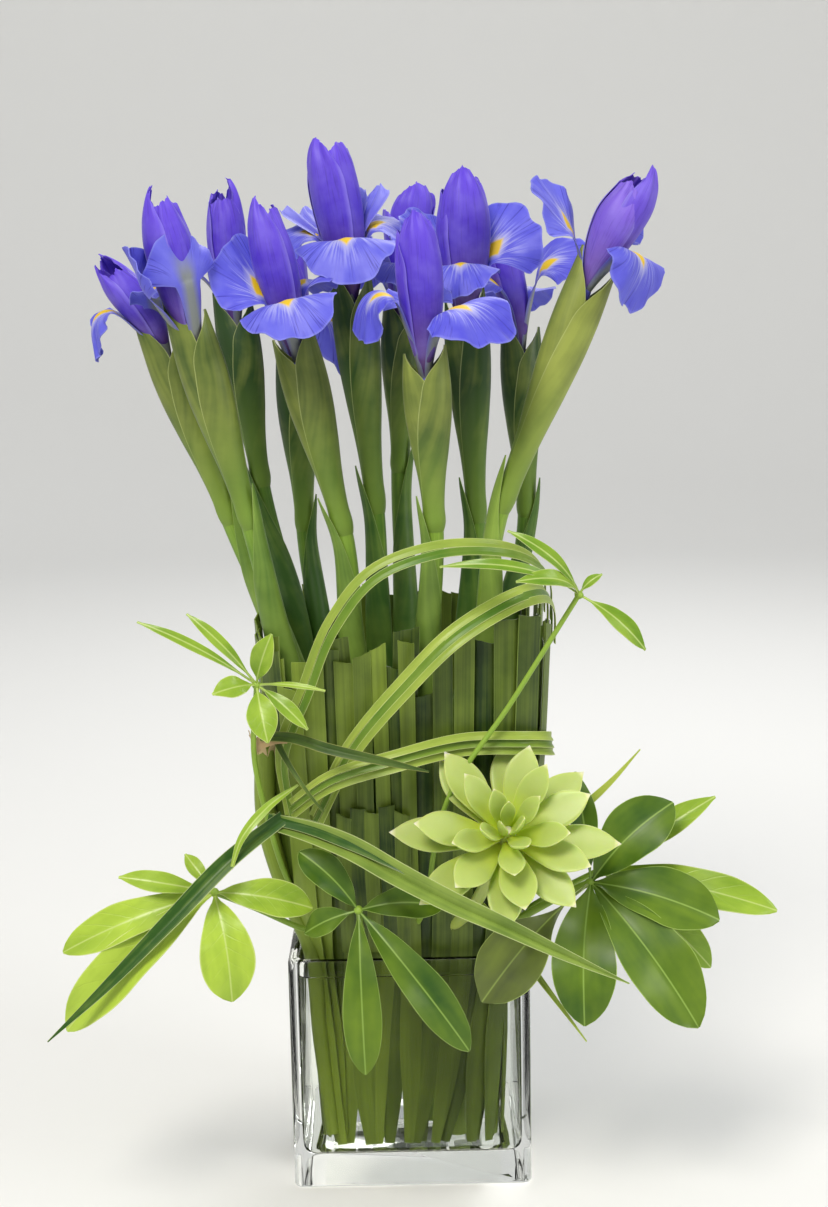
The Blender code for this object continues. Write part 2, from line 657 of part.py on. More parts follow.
def make_blades():
    arc = [(-59, -70.1, 206), (-62, -76, 242), (-50, -81, 272), (-35, -83, 307), (-15, -83, 331),
           (15, -80, 342), (50, -67, 340), (76, -34, 322), (82, -8, 297.3)]
    fuse("grass_arc", [strand(arc, (0, 0, 0), GRASS, 9), strand(arc, (4.2, -1.5, -5), GRASS, 9),
                       knot((-62, -70.1, 207), (-52, -72.1, 204), 1.8)], "grass_lime")
    double = [(-47, -73.5, 206), (-27, -85, 246), (-1, -88, 277), (24, -86, 301), (60, -68, 317.4), (80, -30, 306.3),
              (82, -12, 288)]
    wide = ((0, 5), (0.5, 8), (1, 5))
    fuse("grass_double", [strand(double, (0, 0, 0), wide, 9), strand(double, (5, -2, -7), wide, 9),
                          knot((-49, -73.5, 207), (-40, -75.5, 201), 1.8)], "grass_lime")
    wrap = [(-56, -79.5, 217), (-39, -90, 231), (-4, -90, 242), (28, -80, 247), (62, -76.5, 246), (79, -50, 238),
            (81.5, -10, 230)]
    fuse("grass_wrap", [strand(wrap, (0.4 * k, 0.3 * k, -5.5 * k), ((0, 3.5), (0.5, 4.6), (1, 3.5)), 8)
                        for k in range(3)] + [knot((-56.5, -79.5, 220), (-54.5, -79.5, 203), 1.8)], "grass_lime")
    torn = [(-73, -80, 246), (-58, -86, 257), (-36, -98, 247), (-8, -101, 243), (12, -101, 240)]
    thin = [(-66, -81, 254), (-56, -89, 236), (-46, -94, 222), (-40, -94, 214)]
    fuse("torn_leaf", [strand(torn, (0, 0, 0), ((0, 8), (0.3, 10), (0.8, 6), (1, 2)), 7),
                       strand(thin, (0, 0, 0), ((0, 5), (1, 2)), 5)], "torn_olive")
    right = [(-66, -84, 206), (-47, -93, 206), (-27, -107, 200.4), (-3, -124, 186.7),
             (21, -136, 173.7), (44, -140, 170.5), (72, -143, 157), (104, -144, 142)]
    left = [(-60, -86, 209), (-84, -100, 194), (-114, -114, 167), (-148, -124, 134), (-177, -128, 107)]
    fuse("folded_blade", [strand(right, (0, 0, 0), ((0, 11), (0.2, 15), (0.6, 13), (1, 1.4)), 8, 0.15),
                          strand(left, (0, 0, 0), ((0, 9), (0.4, 11), (1, 1.4)), 7, 0.15)], "blade_green")
    small = [(-85, -103.9, 189), (-80, -101.9, 203), (-68, -93.9, 216), (-53, -80.3, 224)]
    fuse("small_leaf", [strand(small, (0, 0, 0), ((0, 3), (0.4, 8), (1, 3)), 6)], "leaf_bright")
    low = [(37.7, -75.5, 158.3), (50, -92, 147), (68, -102, 124), (87, -110, 99)]
    fuse("thin_blade", [strand(low, (0, 0, 0), ((0, 3), (0.5, 3.4), (1, 1.2)), 7)], "blade_green")
    pale = [(67.9, -48, 184), (90, -58, 203), (104, -64, 218), (118, -70, 236)]
    fuse("pale_tip", [strand(pale, (0, 0, 0), ((0, 3.5), (0.4, 6), (1, 1.2)), 7)], "grass_lime")


# ------------------------------------------------------------------ all of it

for old in list(bpy.data.objects):
    bpy.data.objects.remove(old)

feet = [(foot[0], foot[1], 4.8) for _, foot, *_ in IRISES]
stalk_feet = [(foot[0], foot[1], r) for _, _, foot, r, _, _ in WHORLS] + [(*ROSETTE_FOOT, ROSETTE_R)]
stalk_ways = [(stalk_path(foot, way), r) for _, _, foot, r, way, _ in WHORLS]
stalk_ways.append((stalk_path(ROSETTE_FOOT, ROSETTE_WAY), ROSETTE_R))

make_vase()
make_water(feet, stalk_feet)
make_bundle(stalk_ways)
for spec in IRISES:
    make_iris(*spec)
for spec in WHORLS:
    make_whorl(*spec)
make_rosette()
make_blades()
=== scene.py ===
"""Cut irises in a glass cube vase: the finished look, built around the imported
model. Lengths in the tables are millimetres; meshes are metres, +Z up, with
the front towards -Y."""
import math
import random

import bpy
import numpy as np
from mathutils import Matrix, Vector


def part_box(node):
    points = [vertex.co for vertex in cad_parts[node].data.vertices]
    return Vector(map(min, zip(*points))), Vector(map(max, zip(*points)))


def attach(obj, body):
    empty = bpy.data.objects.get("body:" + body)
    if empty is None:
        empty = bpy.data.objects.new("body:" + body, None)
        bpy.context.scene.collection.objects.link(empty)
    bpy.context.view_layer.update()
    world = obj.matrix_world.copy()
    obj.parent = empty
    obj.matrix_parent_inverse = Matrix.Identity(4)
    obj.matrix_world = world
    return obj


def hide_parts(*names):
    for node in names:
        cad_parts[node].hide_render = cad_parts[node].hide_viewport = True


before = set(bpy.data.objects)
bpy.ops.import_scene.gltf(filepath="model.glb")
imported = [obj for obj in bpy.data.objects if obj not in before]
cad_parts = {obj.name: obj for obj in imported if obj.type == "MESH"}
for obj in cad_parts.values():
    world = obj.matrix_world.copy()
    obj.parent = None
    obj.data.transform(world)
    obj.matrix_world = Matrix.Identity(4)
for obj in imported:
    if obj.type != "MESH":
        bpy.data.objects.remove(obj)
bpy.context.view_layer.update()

bl_info = {
    "name": "Iris Arrangement",
    "version": (1, 0, 0),
    "blender": (4, 5, 0),
    "location": "View3D > Sidebar > Arrangement",
    "description": "Builds cut irises, strap leaves and foliage in a glass cube vase",
    "category": "Add Mesh",
}

MM = 0.001
VASE_LOW, VASE_HIGH = (np.array(corner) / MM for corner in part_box("vase"))
WATER_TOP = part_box("water")[1][2] / MM


def linear(code):
    """Linear colour of an sRGB hex code."""
    rgb = [int(code[i:i + 2], 16) / 255 for i in (0, 2, 4)]
    return tuple(c / 12.92 if c <= 0.04045 else ((c + 0.055) / 1.055) ** 2.4 for c in rgb) + (1.0,)


# ------------------------------------------------------------------ numbers and curves

def unit(a):
    return a / np.maximum(np.linalg.norm(a, axis=-1, keepdims=True), 1e-9)


def ease(table, x):
    """Smooth curve through the rows of a table, read at x."""
    t = np.array(table, float)
    xs, ys = t[:, 0], t[:, 1:]
    slope = np.gradient(ys, xs, axis=0)
    x = np.clip(np.asarray(x, float), xs[0], xs[-1])
    k = np.clip(np.searchsorted(xs, x, "right") - 1, 0, len(xs) - 2)
    h = (xs[k + 1] - xs[k])[..., None]
    u = (x - xs[k])[..., None] / h
    out = (ys[k] * (2 * u ** 3 - 3 * u ** 2 + 1) + ys[k + 1] * (3 * u ** 2 - 2 * u ** 3)
           + slope[k] * h * (u ** 3 - 2 * u ** 2 + u) + slope[k + 1] * h * (u ** 3 - u ** 2))
    return out[..., 0] if out.shape[-1] == 1 else out


def route(points, count):
    """Evenly spaced points on a smooth curve through the given ones."""
    pts = np.array(points, float)
    run = np.concatenate([[0], np.cumsum(np.linalg.norm(np.diff(pts, axis=0), axis=1))])
    fine = ease(np.column_stack([run, pts]), np.linspace(0, run[-1], 300))
    step = np.concatenate([[0], np.cumsum(np.linalg.norm(np.diff(fine, axis=0), axis=1))])
    at = np.linspace(0, step[-1], count)
    return np.column_stack([np.interp(at, step, fine[:, k]) for k in range(3)])


def smooth(x, low, high):
    """0 up to low, 1 from high on, and a soft step between them."""
    u = np.clip((x - low) / (high - low), 0, 1)
    return u * u * (3 - 2 * u)


# ------------------------------------------------------------------ meshes

def new_mesh(name, points, faces, **values):
    """A mesh whose points carry the given vectors, smooth until told otherwise."""
    mesh = bpy.data.meshes.new(name)
    mesh.from_pydata(np.asarray(points).tolist(), [], faces)
    for title, rows in values.items():
        layer = mesh.attributes.new(title, "FLOAT_VECTOR", "POINT")
        layer.data.foreach_set("vector", np.asarray(rows, np.float32).ravel())
    mesh.shade_smooth()
    return mesh


def place_object(name, data):
    """A new object in the scene, at the origin."""
    obj = bpy.data.objects.new(name, data)
    bpy.context.scene.collection.objects.link(obj)
    return obj


def ring_faces(rings, count, inward=False):
    """Faces of a closed bar made of rings of count points each, its ends last."""
    faces = []
    for i in range(rings - 1):
        for k in range(count):
            a, b = i * count + k, i * count + (k + 1) % count
            faces.append((a, a + count, b + count, b) if inward else (a, b, b + count, a + count))
    first, last = tuple(range(count)), tuple(range((rings - 1) * count, rings * count))
    return faces + ([first, last[::-1]] if inward else [first[::-1], last])


class Shape:
    """Gathers closed surfaces into one mesh. place holds across (-1 to 1),
    along (0 to 1) and across in millimetres; tone holds a shade, which on many
    pieces is painted light and shade as well as the piece's own tone, then 1 on
    the upper face, and how dry the leaf is."""

    def __init__(self):
        self.points, self.place, self.tone, self.faces, self.slots = [], [], [], [], []
        self.count = 0

    def add(self, points, place, tone, faces, slot):
        self.points.append(points)
        self.place.append(place)
        self.tone.append(tone)
        self.faces += [tuple(k + self.count for k in face) for face in faces]
        self.slots += [slot] * len(faces)
        self.count += len(points)

    def sheet(self, rows, thick, slot, tone, dry=0.0, edge=0.35):
        """A thin closed leaf over a grid of points, thinner at its edges."""
        n, m = rows.shape[:2]
        across = np.linspace(-1, 1, m)[None, :].repeat(n, 0)
        run = np.linspace(0, 1, n)[:, None].repeat(m, 1)
        out = unit(np.cross(np.gradient(rows, axis=1), np.gradient(rows, axis=0)))
        body = thick / 2 * (edge + (1 - edge) * (1 - across ** 4))[..., None]
        wide = np.linalg.norm(rows[:, -1] - rows[:, 0], axis=1)[:, None] / 2 * across
        place = np.stack([across, run, wide], -1).reshape(-1, 3)
        upper, lower = (rows + out * body).reshape(-1, 3), (rows - out * body).reshape(-1, 3)
        size = n * m
        a = (np.arange(n - 1)[:, None] * m + np.arange(m - 1)).ravel()
        top = np.stack([a, a + 1, a + 1 + m, a + m], 1)
        rim = list(range(m)) + [i * m + m - 1 for i in range(1, n)]
        rim += [(n - 1) * m + j for j in range(m - 2, -1, -1)] + [i * m for i in range(n - 2, 0, -1)]
        faces = top.tolist() + (top[:, ::-1] + size).tolist()
        faces += [(q, p, p + size, q + size) for p, q in zip(rim, rim[1:] + rim[:1])]
        tones = np.zeros((2 * size, 3))
        tones[:, 0], tones[:size, 1], tones[:, 2] = tone, 1, dry
        self.add(np.concatenate([upper, lower]), np.concatenate([place, place]), tones, faces, slot)

    def tube(self, path, wide, deep=None, sides=18, hint=(1, 0, 0), slot=0, tone=0.5):
        """A closed round or oval bar along a path."""
        path = np.asarray(path, float)
        n = len(path)
        wide = np.broadcast_to(wide, n)
        deep = wide if deep is None else np.broadcast_to(deep, n)
        t = unit(np.gradient(path, axis=0))
        side = unit(np.array(hint, float) - t * (t @ np.array(hint, float))[:, None])
        front = np.cross(t, side)
        angle = 2 * math.pi * np.arange(sides) / sides
        points = (path[:, None] + side[:, None] * (wide[:, None] * np.cos(angle))[..., None]
                  + front[:, None] * (deep[:, None] * np.sin(angle))[..., None]).reshape(-1, 3)
        across = np.abs(np.arange(sides) / sides * 2 - 1)
        place = np.stack([across[None].repeat(n, 0), np.linspace(0, 1, n)[:, None].repeat(sides, 1),
                          across[None] * wide[:, None] * 3], -1).reshape(-1, 3)
        self.add(points, place, np.tile([tone, 1.0, 0.0], (n * sides, 1)), ring_faces(n, sides), slot)

    def build(self, name, materials, replaced, slot, angle=55):
        """The finished piece: it rides on the root and stands for its CAD nodes."""
        mesh = new_mesh(name, np.concatenate(self.points) * MM, self.faces,
                        place=np.concatenate(self.place), tone=np.concatenate(self.tone))
        for mat in materials:
            mesh.materials.append(FINISHES[mat])
        mesh.polygons.foreach_set("material_index", self.slots)
        mesh.set_sharp_from_angle(angle=math.radians(angle))
        settle(place_object(name, mesh), replaced)


def settle(obj, replaced):
    """What the finished piece rides on, and which CAD nodes it stands for."""
    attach(obj, "root")
    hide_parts(*replaced)


def strip(points, widths, facing, n, m, crease=0.0, wave=0.0):
    """Rows of points of a narrow leaf: a crease lowers its middle, and a wave
    lifts its edges in turn."""
    path = route(points, n)
    s = np.linspace(0, 1, n)
    t = unit(np.gradient(path, axis=0))
    side = unit(np.cross(t, np.broadcast_to(np.array(facing, float), t.shape)))
    up = np.cross(side, t)
    w = ease(widths, s)[:, None] / 2
    a = np.linspace(-1, 1, m)[None]
    lift = w * crease * np.abs(a) + wave * np.sin(s[:, None] * 19 + a * 1.3) * a * a
    return path[:, None] + side[:, None] * (w * a)[..., None] + up[:, None] * lift[..., None]


# ------------------------------------------------------------------ materials

def node(tree, kind, *values, links=None, out=0, **settings):
    """Add a node with its settings and links, and return one of its outputs. A
    short kind is a shader node's, and a word after it is its operation; values
    go into its inputs in turn, and links into those that are named."""
    kind, _, operation = kind.partition(" ")
    made = tree.nodes.new(kind if "Node" in kind else "ShaderNode" + kind)
    if operation:
        made.operation = operation
    for key, value in settings.items():
        setattr(made, key, value)
    for key, value in [*enumerate(values), *(links or {}).items()]:
        if isinstance(value, bpy.types.NodeSocket):
            tree.links.new(value, made.inputs[key])
        else:
            made.inputs[key].default_value = value
    return made.outputs[out]


def begin(name):
    """A new material with its node tree cleared, and the sockets that say where
    on its leaf a point is and what shade the leaf has."""
    mat = bpy.data.materials.new(name)
    mat.use_nodes = True
    tree = mat.node_tree
    tree.nodes.clear()
    parts = []
    for title in ("place", "tone"):
        both = node(tree, "Attribute", out=1, attribute_name=title)
        parts += list(node(tree, "SeparateXYZ", both).node.outputs)
    return mat, tree, parts


def close(mat, shader):
    """The material, with the shader as its surface."""
    tree = mat.node_tree
    tree.links.new(shader, tree.nodes.new("ShaderNodeOutputMaterial").inputs["Surface"])
    return mat


def thin(mat, base, layers, bump, through, skin):
    """A thin leaf or petal: colours laid over the base in turn, each by its own
    share, a skin with its own gloss, and some light that comes through it."""
    tree, colour = mat.node_tree, linear(base)
    for share, code in layers:
        colour = node(tree, "Mix", share, links={6: colour, 7: linear(code)}, out=2, data_type="RGBA")
    face = node(tree, "BsdfPrincipled", links={"Base Color": colour, "Normal": bump, **skin})
    glow = node(tree, "BsdfTranslucent", links={"Color": colour, "Normal": bump})
    return close(mat, node(tree, "MixShader", through, face, glow))


def plant_finish(name, dark, light, edge, ribs, rough, through, rim=0.9, midrib=None, veins=0.0, rib_depth=0.25,
                 spread=0.5, wax=0.0, dry="DDBF94", foot=None, painted_underwater_light=None):
    """Leaf or stem tissue: satin, ribbed along its length, and a little
    see-through. ribs is how many ribs there are to the millimetre, through the
    share of light that comes through, rim where the pale border starts, veins
    how plain the slanted side veins are, spread how softly the shades run into
    each other, foot the colour low on the piece, and painted_underwater_light
    the painted light laid over the piece under water."""
    mat, tree, (x, y, mm, tone, _, dryness) = begin(name)
    wide = node(tree, "Math ABSOLUTE", x)
    lines = node(tree, "CombineXYZ", node(tree, "Math MULTIPLY", mm, ribs), node(tree, "Math MULTIPLY", y, 1.5),
                 node(tree, "Math MULTIPLY", tone, 40.0))
    rib = node(tree, "TexNoise", links={"Vector": lines, "Scale": 1.0, "Detail": 2.0, "Roughness": 0.6})
    where = node(tree, "TexCoord", out=3)
    # patches of 18 mm
    cloud = node(tree, "TexNoise", links={"Vector": where, "Scale": 55.0, "Detail": 3.0})
    share = node(tree, "Math MULTIPLY_ADD", rib, 0.55, node(tree, "Math MULTIPLY", cloud, 0.45))
    share = node(tree, "MapRange", share, 0.5 - spread / 2 + 0.05, 0.5 + spread / 2 - 0.05)
    share = node(tree, "Math MULTIPLY_ADD", share, 0.6, -0.95)
    share = node(tree, "Math MULTIPLY_ADD", tone, 1.3, share)
    share = node(tree, "Math ADD", share, 0.5, use_clamp=True)
    layers, height = [(share, light)], rib
    if veins:
        slant = node(tree, "Math MULTIPLY_ADD", y, 15.0, node(tree, "Math MULTIPLY", wide, -3.2))
        slant = node(tree, "Math MULTIPLY_ADD", cloud, 1.2, slant)
        saw = node(tree, "Math PINGPONG", slant, 1.0)
        vein = node(tree, "MapRange", saw, 0.12, 0.0)
        layers.append((node(tree, "Math MULTIPLY", vein, veins), edge))
        height = node(tree, "Math MULTIPLY_ADD", vein, -0.8, height)
    if midrib:                                    # half a millimetre to each side of the middle
        mid = node(tree, "MapRange", node(tree, "Math ABSOLUTE", mm), 0.6, 0.15)
        layers.append((node(tree, "Math MULTIPLY", mid, 0.6), midrib))
    if rim:
        border = node(tree, "MapRange", wide, rim, min(rim + 0.09, 1.0))
        layers.append((node(tree, "Math MULTIPLY", border, 0.8), edge))
    if foot:
        layers.append((node(tree, "MapRange", y, 0.6, 0.05, 0.0, 0.75), foot))
    # painted light: below the water's surface an olive colour is laid over the tissue, in place of the light inside
    # the glass
    if painted_underwater_light:
        depth = node(tree, "MapRange", node(tree, "SeparateXYZ", where, out=2), 0.150, 0.100)
        layers.append((node(tree, "Math MULTIPLY", depth, 0.5), painted_underwater_light))
    bump = node(tree, "Bump", links={"Height": height, "Strength": rib_depth, "Distance": 0.0006})
    return thin(mat, dark, layers + [(dryness, dry)], bump, through,
                {"Roughness": rough, "IOR": 1.42, "Coat Weight": wax, "Coat Roughness": 0.25})


def fall_finish(name):
    """Fall petals, thin and softly matt: periwinkle, with whitish rays near the
    yellow mark that turn to darker veins further out, a pale rim, and a
    green-grey keel beneath."""
    mat, tree, (x, y, mm, tone, upper, _) = begin(name)
    wide = node(tree, "Math ABSOLUTE", x)
    aside = node(tree, "Math ABSOLUTE", mm)
    where = node(tree, "TexCoord", out=3)
    # patches of 11 mm
    cloud = node(tree, "TexNoise", links={"Vector": where, "Scale": 90.0, "Detail": 3.0})
    # about forty rays from the mark to the rim, 1 mm apart there
    rays = node(tree, "CombineXYZ", node(tree, "Math MULTIPLY", x, 21.0), node(tree, "Math MULTIPLY", y, 1.2),
                node(tree, "Math MULTIPLY", tone, 30.0))
    ray = node(tree, "TexNoise", links={"Vector": rays, "Scale": 1.0, "Detail": 3.0, "Roughness": 0.7})
    pale = node(tree, "Math ADD", node(tree, "Math MULTIPLY", cloud, 0.55),
                node(tree, "Math MULTIPLY_ADD", tone, 0.7, -0.35))
    veins = node(tree, "Math MULTIPLY", node(tree, "MapRange", ray, 0.56, 0.64),
                 node(tree, "MapRange", y, MARK + 0.1, 0.8, 0.0, 0.75))
    white = node(tree, "Math MULTIPLY", node(tree, "MapRange", y, 0.84, MARK + 0.04, 0.0, 0.65),
                 node(tree, "MapRange", y, MARK - 0.1, MARK))
    white = node(tree, "Math MULTIPLY", node(tree, "MapRange", ray, 0.49, 0.41), white)
    rim = node(tree, "Math MAXIMUM", node(tree, "MapRange", wide, 0.955, 1.0),
               node(tree, "MapRange", y, 0.972, 1.0))
    off = node(tree, "Math ABSOLUTE", node(tree, "Math ADD", y, 0.02 - MARK))
    near = node(tree, "Math MULTIPLY_ADD", off, 30.0, node(tree, "Math MULTIPLY", aside, 1.4))
    halo = node(tree, "MapRange", near, 9.0, 4.0, 0.0, 0.7)
    mark = node(tree, "MapRange", near, 5.4, 3.8)
    foot = node(tree, "MapRange", y, 0.34, 0.12, 0.0, 0.6)
    keel = node(tree, "Math MULTIPLY", node(tree, "MapRange", aside, 5.0, 1.5),
                node(tree, "MapRange", y, 0.8, 0.4, 0.0, 0.8))
    under = node(tree, "Math SUBTRACT", 1.0, upper)
    layers = [
        (pale, "9398FA"), (veins, "3B35B4"),
        (node(tree, "Math MULTIPLY", white, upper), "D8DAFA"),
        (node(tree, "Math MULTIPLY", rim, 0.3), "B4BAFC"),
        (node(tree, "Math MULTIPLY", halo, upper), "DEDFF8"),
        (node(tree, "Math MULTIPLY", mark, upper), "F9D018"),
        (foot, "6A62B8"),
        (node(tree, "Math MULTIPLY", keel, under), "939B78"),
    ]
    bump = node(tree, "Bump", links={"Height": ray, "Strength": 0.3, "Distance": 0.0006, "Filter Width": 0.1})
    return thin(mat, "4A46DA", layers, bump, 0.22,
                {"Roughness": 0.5, "Sheen Weight": 0.12, "Sheen Roughness": 0.4})


def standard_finish(name, foot, body, tip, edge, veins="3A1E9E"):
    """Upright petals and style arms, velvety: deep violet, darker and browner at
    the foot, finely veined along their length, with paler edges."""
    mat, tree, (x, y, _, tone, *_) = begin(name)
    wide = node(tree, "Math ABSOLUTE", x)
    where = node(tree, "TexCoord", out=3)
    # patches of 14 mm
    cloud = node(tree, "TexNoise", links={"Vector": where, "Scale": 70.0, "Detail": 3.0})
    # about thirty veins across a petal, 1 mm apart
    lines = node(tree, "CombineXYZ", node(tree, "Math MULTIPLY", x, 11.0), node(tree, "Math MULTIPLY", y, 2.2),
                 node(tree, "Math MULTIPLY", tone, 30.0))
    line = node(tree, "TexNoise", links={"Vector": lines, "Scale": 1.6, "Detail": 3.0, "Roughness": 0.65})
    low = node(tree, "MapRange", y, 0.1, 0.55)
    high = node(tree, "MapRange", y, 0.55, 1.0)
    faded = node(tree, "MapRange", tone, 0.75, 1.0, 0.0, 0.5)
    streak = node(tree, "MapRange", line, 0.52, 0.72)
    pale = node(tree, "Math MULTIPLY", node(tree, "MapRange", cloud, 0.45, 0.75), 0.35)
    rim = node(tree, "MapRange", wide, 0.86, 1.0)
    pale = node(tree, "Math MULTIPLY_ADD", rim, 0.6, pale, use_clamp=True)
    layers = [(low, body), (high, tip), (faded, "9C7AE4"),
              (node(tree, "Math MULTIPLY", streak, 0.55), veins), (pale, edge)]
    bump = node(tree, "Bump", links={"Height": line, "Strength": 0.25, "Distance": 0.0006})
    return thin(mat, foot, layers, bump, 0.18,
                {"Roughness": 0.5, "Sheen Weight": 0.15, "Sheen Roughness": 0.4})


def rosette_finish(name):
    """Echeveria leaf, thick and waxy: yellow-green at its foot, brightened there
    with painted light against the shade in the rosette's centre, and paler
    further out, with a lighter rim and a small pale point; light sinks into it."""
    mat, tree, (x, y, *_) = begin(name)
    wide = node(tree, "Math ABSOLUTE", x)
    where = node(tree, "TexCoord", out=3)
    # patches of 17 mm
    cloud = node(tree, "TexNoise", links={"Vector": where, "Scale": 60.0, "Detail": 4.0, "Roughness": 0.6})
    tint = node(tree, "Math MULTIPLY_ADD", y, 0.75, -0.25)
    tint = node(tree, "Math MULTIPLY_ADD", cloud, 0.5, tint, use_clamp=True)
    rim = node(tree, "MapRange", wide, 0.9, 1.0)
    tip = node(tree, "MapRange", y, 0.93, 0.985)
    colour = linear("9DB33A")
    for share, code in ((tint, "C2CF80"),
                        # painted light: the foot of each leaf is brightened against the shade between the leaves in
                        # the centre
                        (node(tree, "MapRange", y, 0.55, 0.1, 0.0, 0.8), "D6E646"),
                        (node(tree, "Math MULTIPLY", rim, 0.45), "D9E59E"),
                        (node(tree, "Math MULTIPLY", tip, 0.8), "F0EFC8")):
        colour = node(tree, "Mix", share, links={6: colour, 7: linear(code)}, out=2, data_type="RGBA")
    bump = node(tree, "Bump", links={"Height": cloud, "Strength": 0.08, "Distance": 0.002})
    skin = node(tree, "BsdfPrincipled", links={
        "Base Color": colour, "Roughness": 0.42, "Normal": bump, "Subsurface Weight": 0.55,
        "Subsurface Radius": (0.7, 1.0, 0.15), "Subsurface Scale": 0.005, "Coat Weight": 0.12,
        "Coat Roughness": 0.3})
    return close(mat, skin)


def clear_finish(name, tint, ior):
    """Clear glass or still water: it bends sight, and lets lamplight straight
    through to what stands in it."""
    mat, tree, _ = begin(name)
    body = node(tree, "BsdfPrincipled", links={
        "Base Color": linear(tint), "Roughness": 0.0, "IOR": ior, "Transmission Weight": 1.0,
        "Specular Tint": linear("565656")})
    open_ = node(tree, "BsdfTransparent", links={"Color": linear("FFFFFF")})
    lamp = node(tree, "LightPath", out=1)
    return close(mat, node(tree, "MixShader", lamp, body, open_))


def floor_finish(name):
    """Matt studio paper, one even pale grey."""
    mat, tree, _ = begin(name)
    return close(mat, node(tree, "BsdfPrincipled", links={"Base Color": linear("E4E4E2"), "Roughness": 0.8}))


FINISHES = {}


def make_finishes():
    """Each finish by a short name. Greens run from a dark to a light shade, with
    an edge colour, then ribs to the millimetre, roughness and light through."""
    # Pressed and polished soda glass: clear, with bright edges and a thick foot
    # that bends what stands behind it. Still water fills it without a film of air.
    FINISHES["glass"] = clear_finish("clear_glass", "FBFDFB", 1.45)
    FINISHES["water"] = clear_finish("clear_water", "FDFEFA", 1.33)
    # Flax lily leaf, cut: tough and satin, ribbed every 2 mm, with painted olive light under water.
    FINISHES["strap"] = plant_finish("strap_leaf", "1C3606", "8CA23A", "93A856", 0.5, 0.42, 0.08, rim=0.965,
                                     spread=0.6, rib_depth=0.15, painted_underwater_light="56660A")
    # Iris cane: smooth, round and juicy, with faint lines and no border, and with painted light under water.
    FINISHES["stem"] = plant_finish("iris_stem", "4E7A1E", "9CBC46", "C9D690", 0.8, 0.42, 0.05, rim=None,
                                    rib_depth=0.15, painted_underwater_light="7E8C22")
    # Leaf wrapped round a cane, and the bracts under a flower, which are firmer,
    # duller and brighter at their foot: both are ribbed every 2 mm.
    FINISHES["sheath"] = plant_finish("iris_sheath", "3C6420", "9CBA50", "B0C478", 0.5, 0.45, 0.1, rim=0.965)
    FINISHES["bract"] = plant_finish("iris_bract", "2E4A1E", "99A44C", "B9C27E", 0.45, 0.42, 0.06, rim=0.972,
                                     spread=0.42, foot="789A34")
    # Lily grass: thin, glossy and lime green, with a pale edge. The ribs of thin
    # leaves are too fine to show, and are drawn 4.5 mm and 2.5 mm apart.
    FINISHES["grass"] = plant_finish("grass_blade", "4E7A16", "C4D45E", "E0EA9C", 0.22, 0.36, 0.12, spread=0.7)
    FINISHES["blade"] = plant_finish("strap_blade", "2E5814", "AAC258", "D4E09C", 0.4, 0.4, 0.12, rim=0.93)
    # Strap leaf that has torn and dried: dull, and tan where it is dry.
    FINISHES["torn"] = plant_finish("dry_strap", "2E4A12", "7C9636", "A4A65C", 0.5, 0.5, 0.08, dry="DDB88C")
    # Umbrella-tree leaflet: waxed, with a pale midrib 1 mm wide and soft patches
    # in place of ribs. Young ones are thin and bright, old ones leathery and dark.
    FINISHES["bright"] = plant_finish("bright_leaflet", "5E8E14", "C0DC4C", "E6F0A0", 0.12, 0.34, 0.18, rim=0.94,
                                      midrib="D6E68E", veins=0.05, wax=0.2)
    FINISHES["dark"] = plant_finish("dark_leaflet", "235006", "84A21E", "B4D068", 0.1, 0.46, 0.08, rim=0.975,
                                    midrib="A2C25C", wax=0.14)
    FINISHES["fall"] = fall_finish("iris_fall")
    FINISHES["standard"] = standard_finish("iris_standard", "5C3A74", "5034CC", "6C4CE4", "9484EE")
    FINISHES["crest"] = standard_finish("iris_crest", "6A64C8", "6C6AE4", "8E90F2", "B9BDFB", "4B3FC4")
    FINISHES["rosette"] = rosette_finish("echeveria_leaf")
    FINISHES["floor"] = floor_finish("studio_floor")


# ------------------------------------------------------------------ settings

def size_prop(name, words, default):
    return bpy.props.FloatProperty(name=name, description=words, default=default, unit="LENGTH")


class ArrangementSettings(bpy.types.PropertyGroup):
    """Sizes and colours a user would change."""
    vase_side: size_prop("Vase width", "Outside width of the glass cube",
                         float(VASE_HIGH[0] - VASE_LOW[0]) * MM)
    vase_height: size_prop("Vase height", "Height of the glass cube", float(VASE_HIGH[2]) * MM)
    water_level: size_prop("Water level", "Height of the water's surface", WATER_TOP * MM)
    petal_thickness: size_prop("Petal thickness", "Thickness of a petal at its middle", 0.00045)
    strap_thickness: size_prop("Strap thickness", "Thickness of a strap leaf", 0.0007)
    ruffle: size_prop("Petal ruffle", "Height of the waves along a fall's edge", 0.0019)
    floor_size: size_prop("Floor size", "Width of the round studio floor, which curves up at its edge", 6.4)
    lamp_power: bpy.props.FloatProperty(name="Lamp power", description="Strength of the main soft lamp",
                                        default=27.0, min=0.0, unit="POWER")
    sky_strength: bpy.props.FloatProperty(name="Sky strength", description="Strength of the even light",
                                          default=0.56, min=0.0)
    sky_colour: bpy.props.FloatVectorProperty(name="Sky colour", description="Colour of the even light",
                                              subtype="COLOR", size=4, default=linear("F3F5FA"))
    lamp_colour: bpy.props.FloatVectorProperty(name="Lamp colour", description="Colour of the main lamp",
                                               subtype="COLOR", size=3, default=linear("FFFAF0")[:3])


# ------------------------------------------------------------------ vase and water

WALL, BASE = 5.0, 16.0               # thickness of the glass at the side and under the water


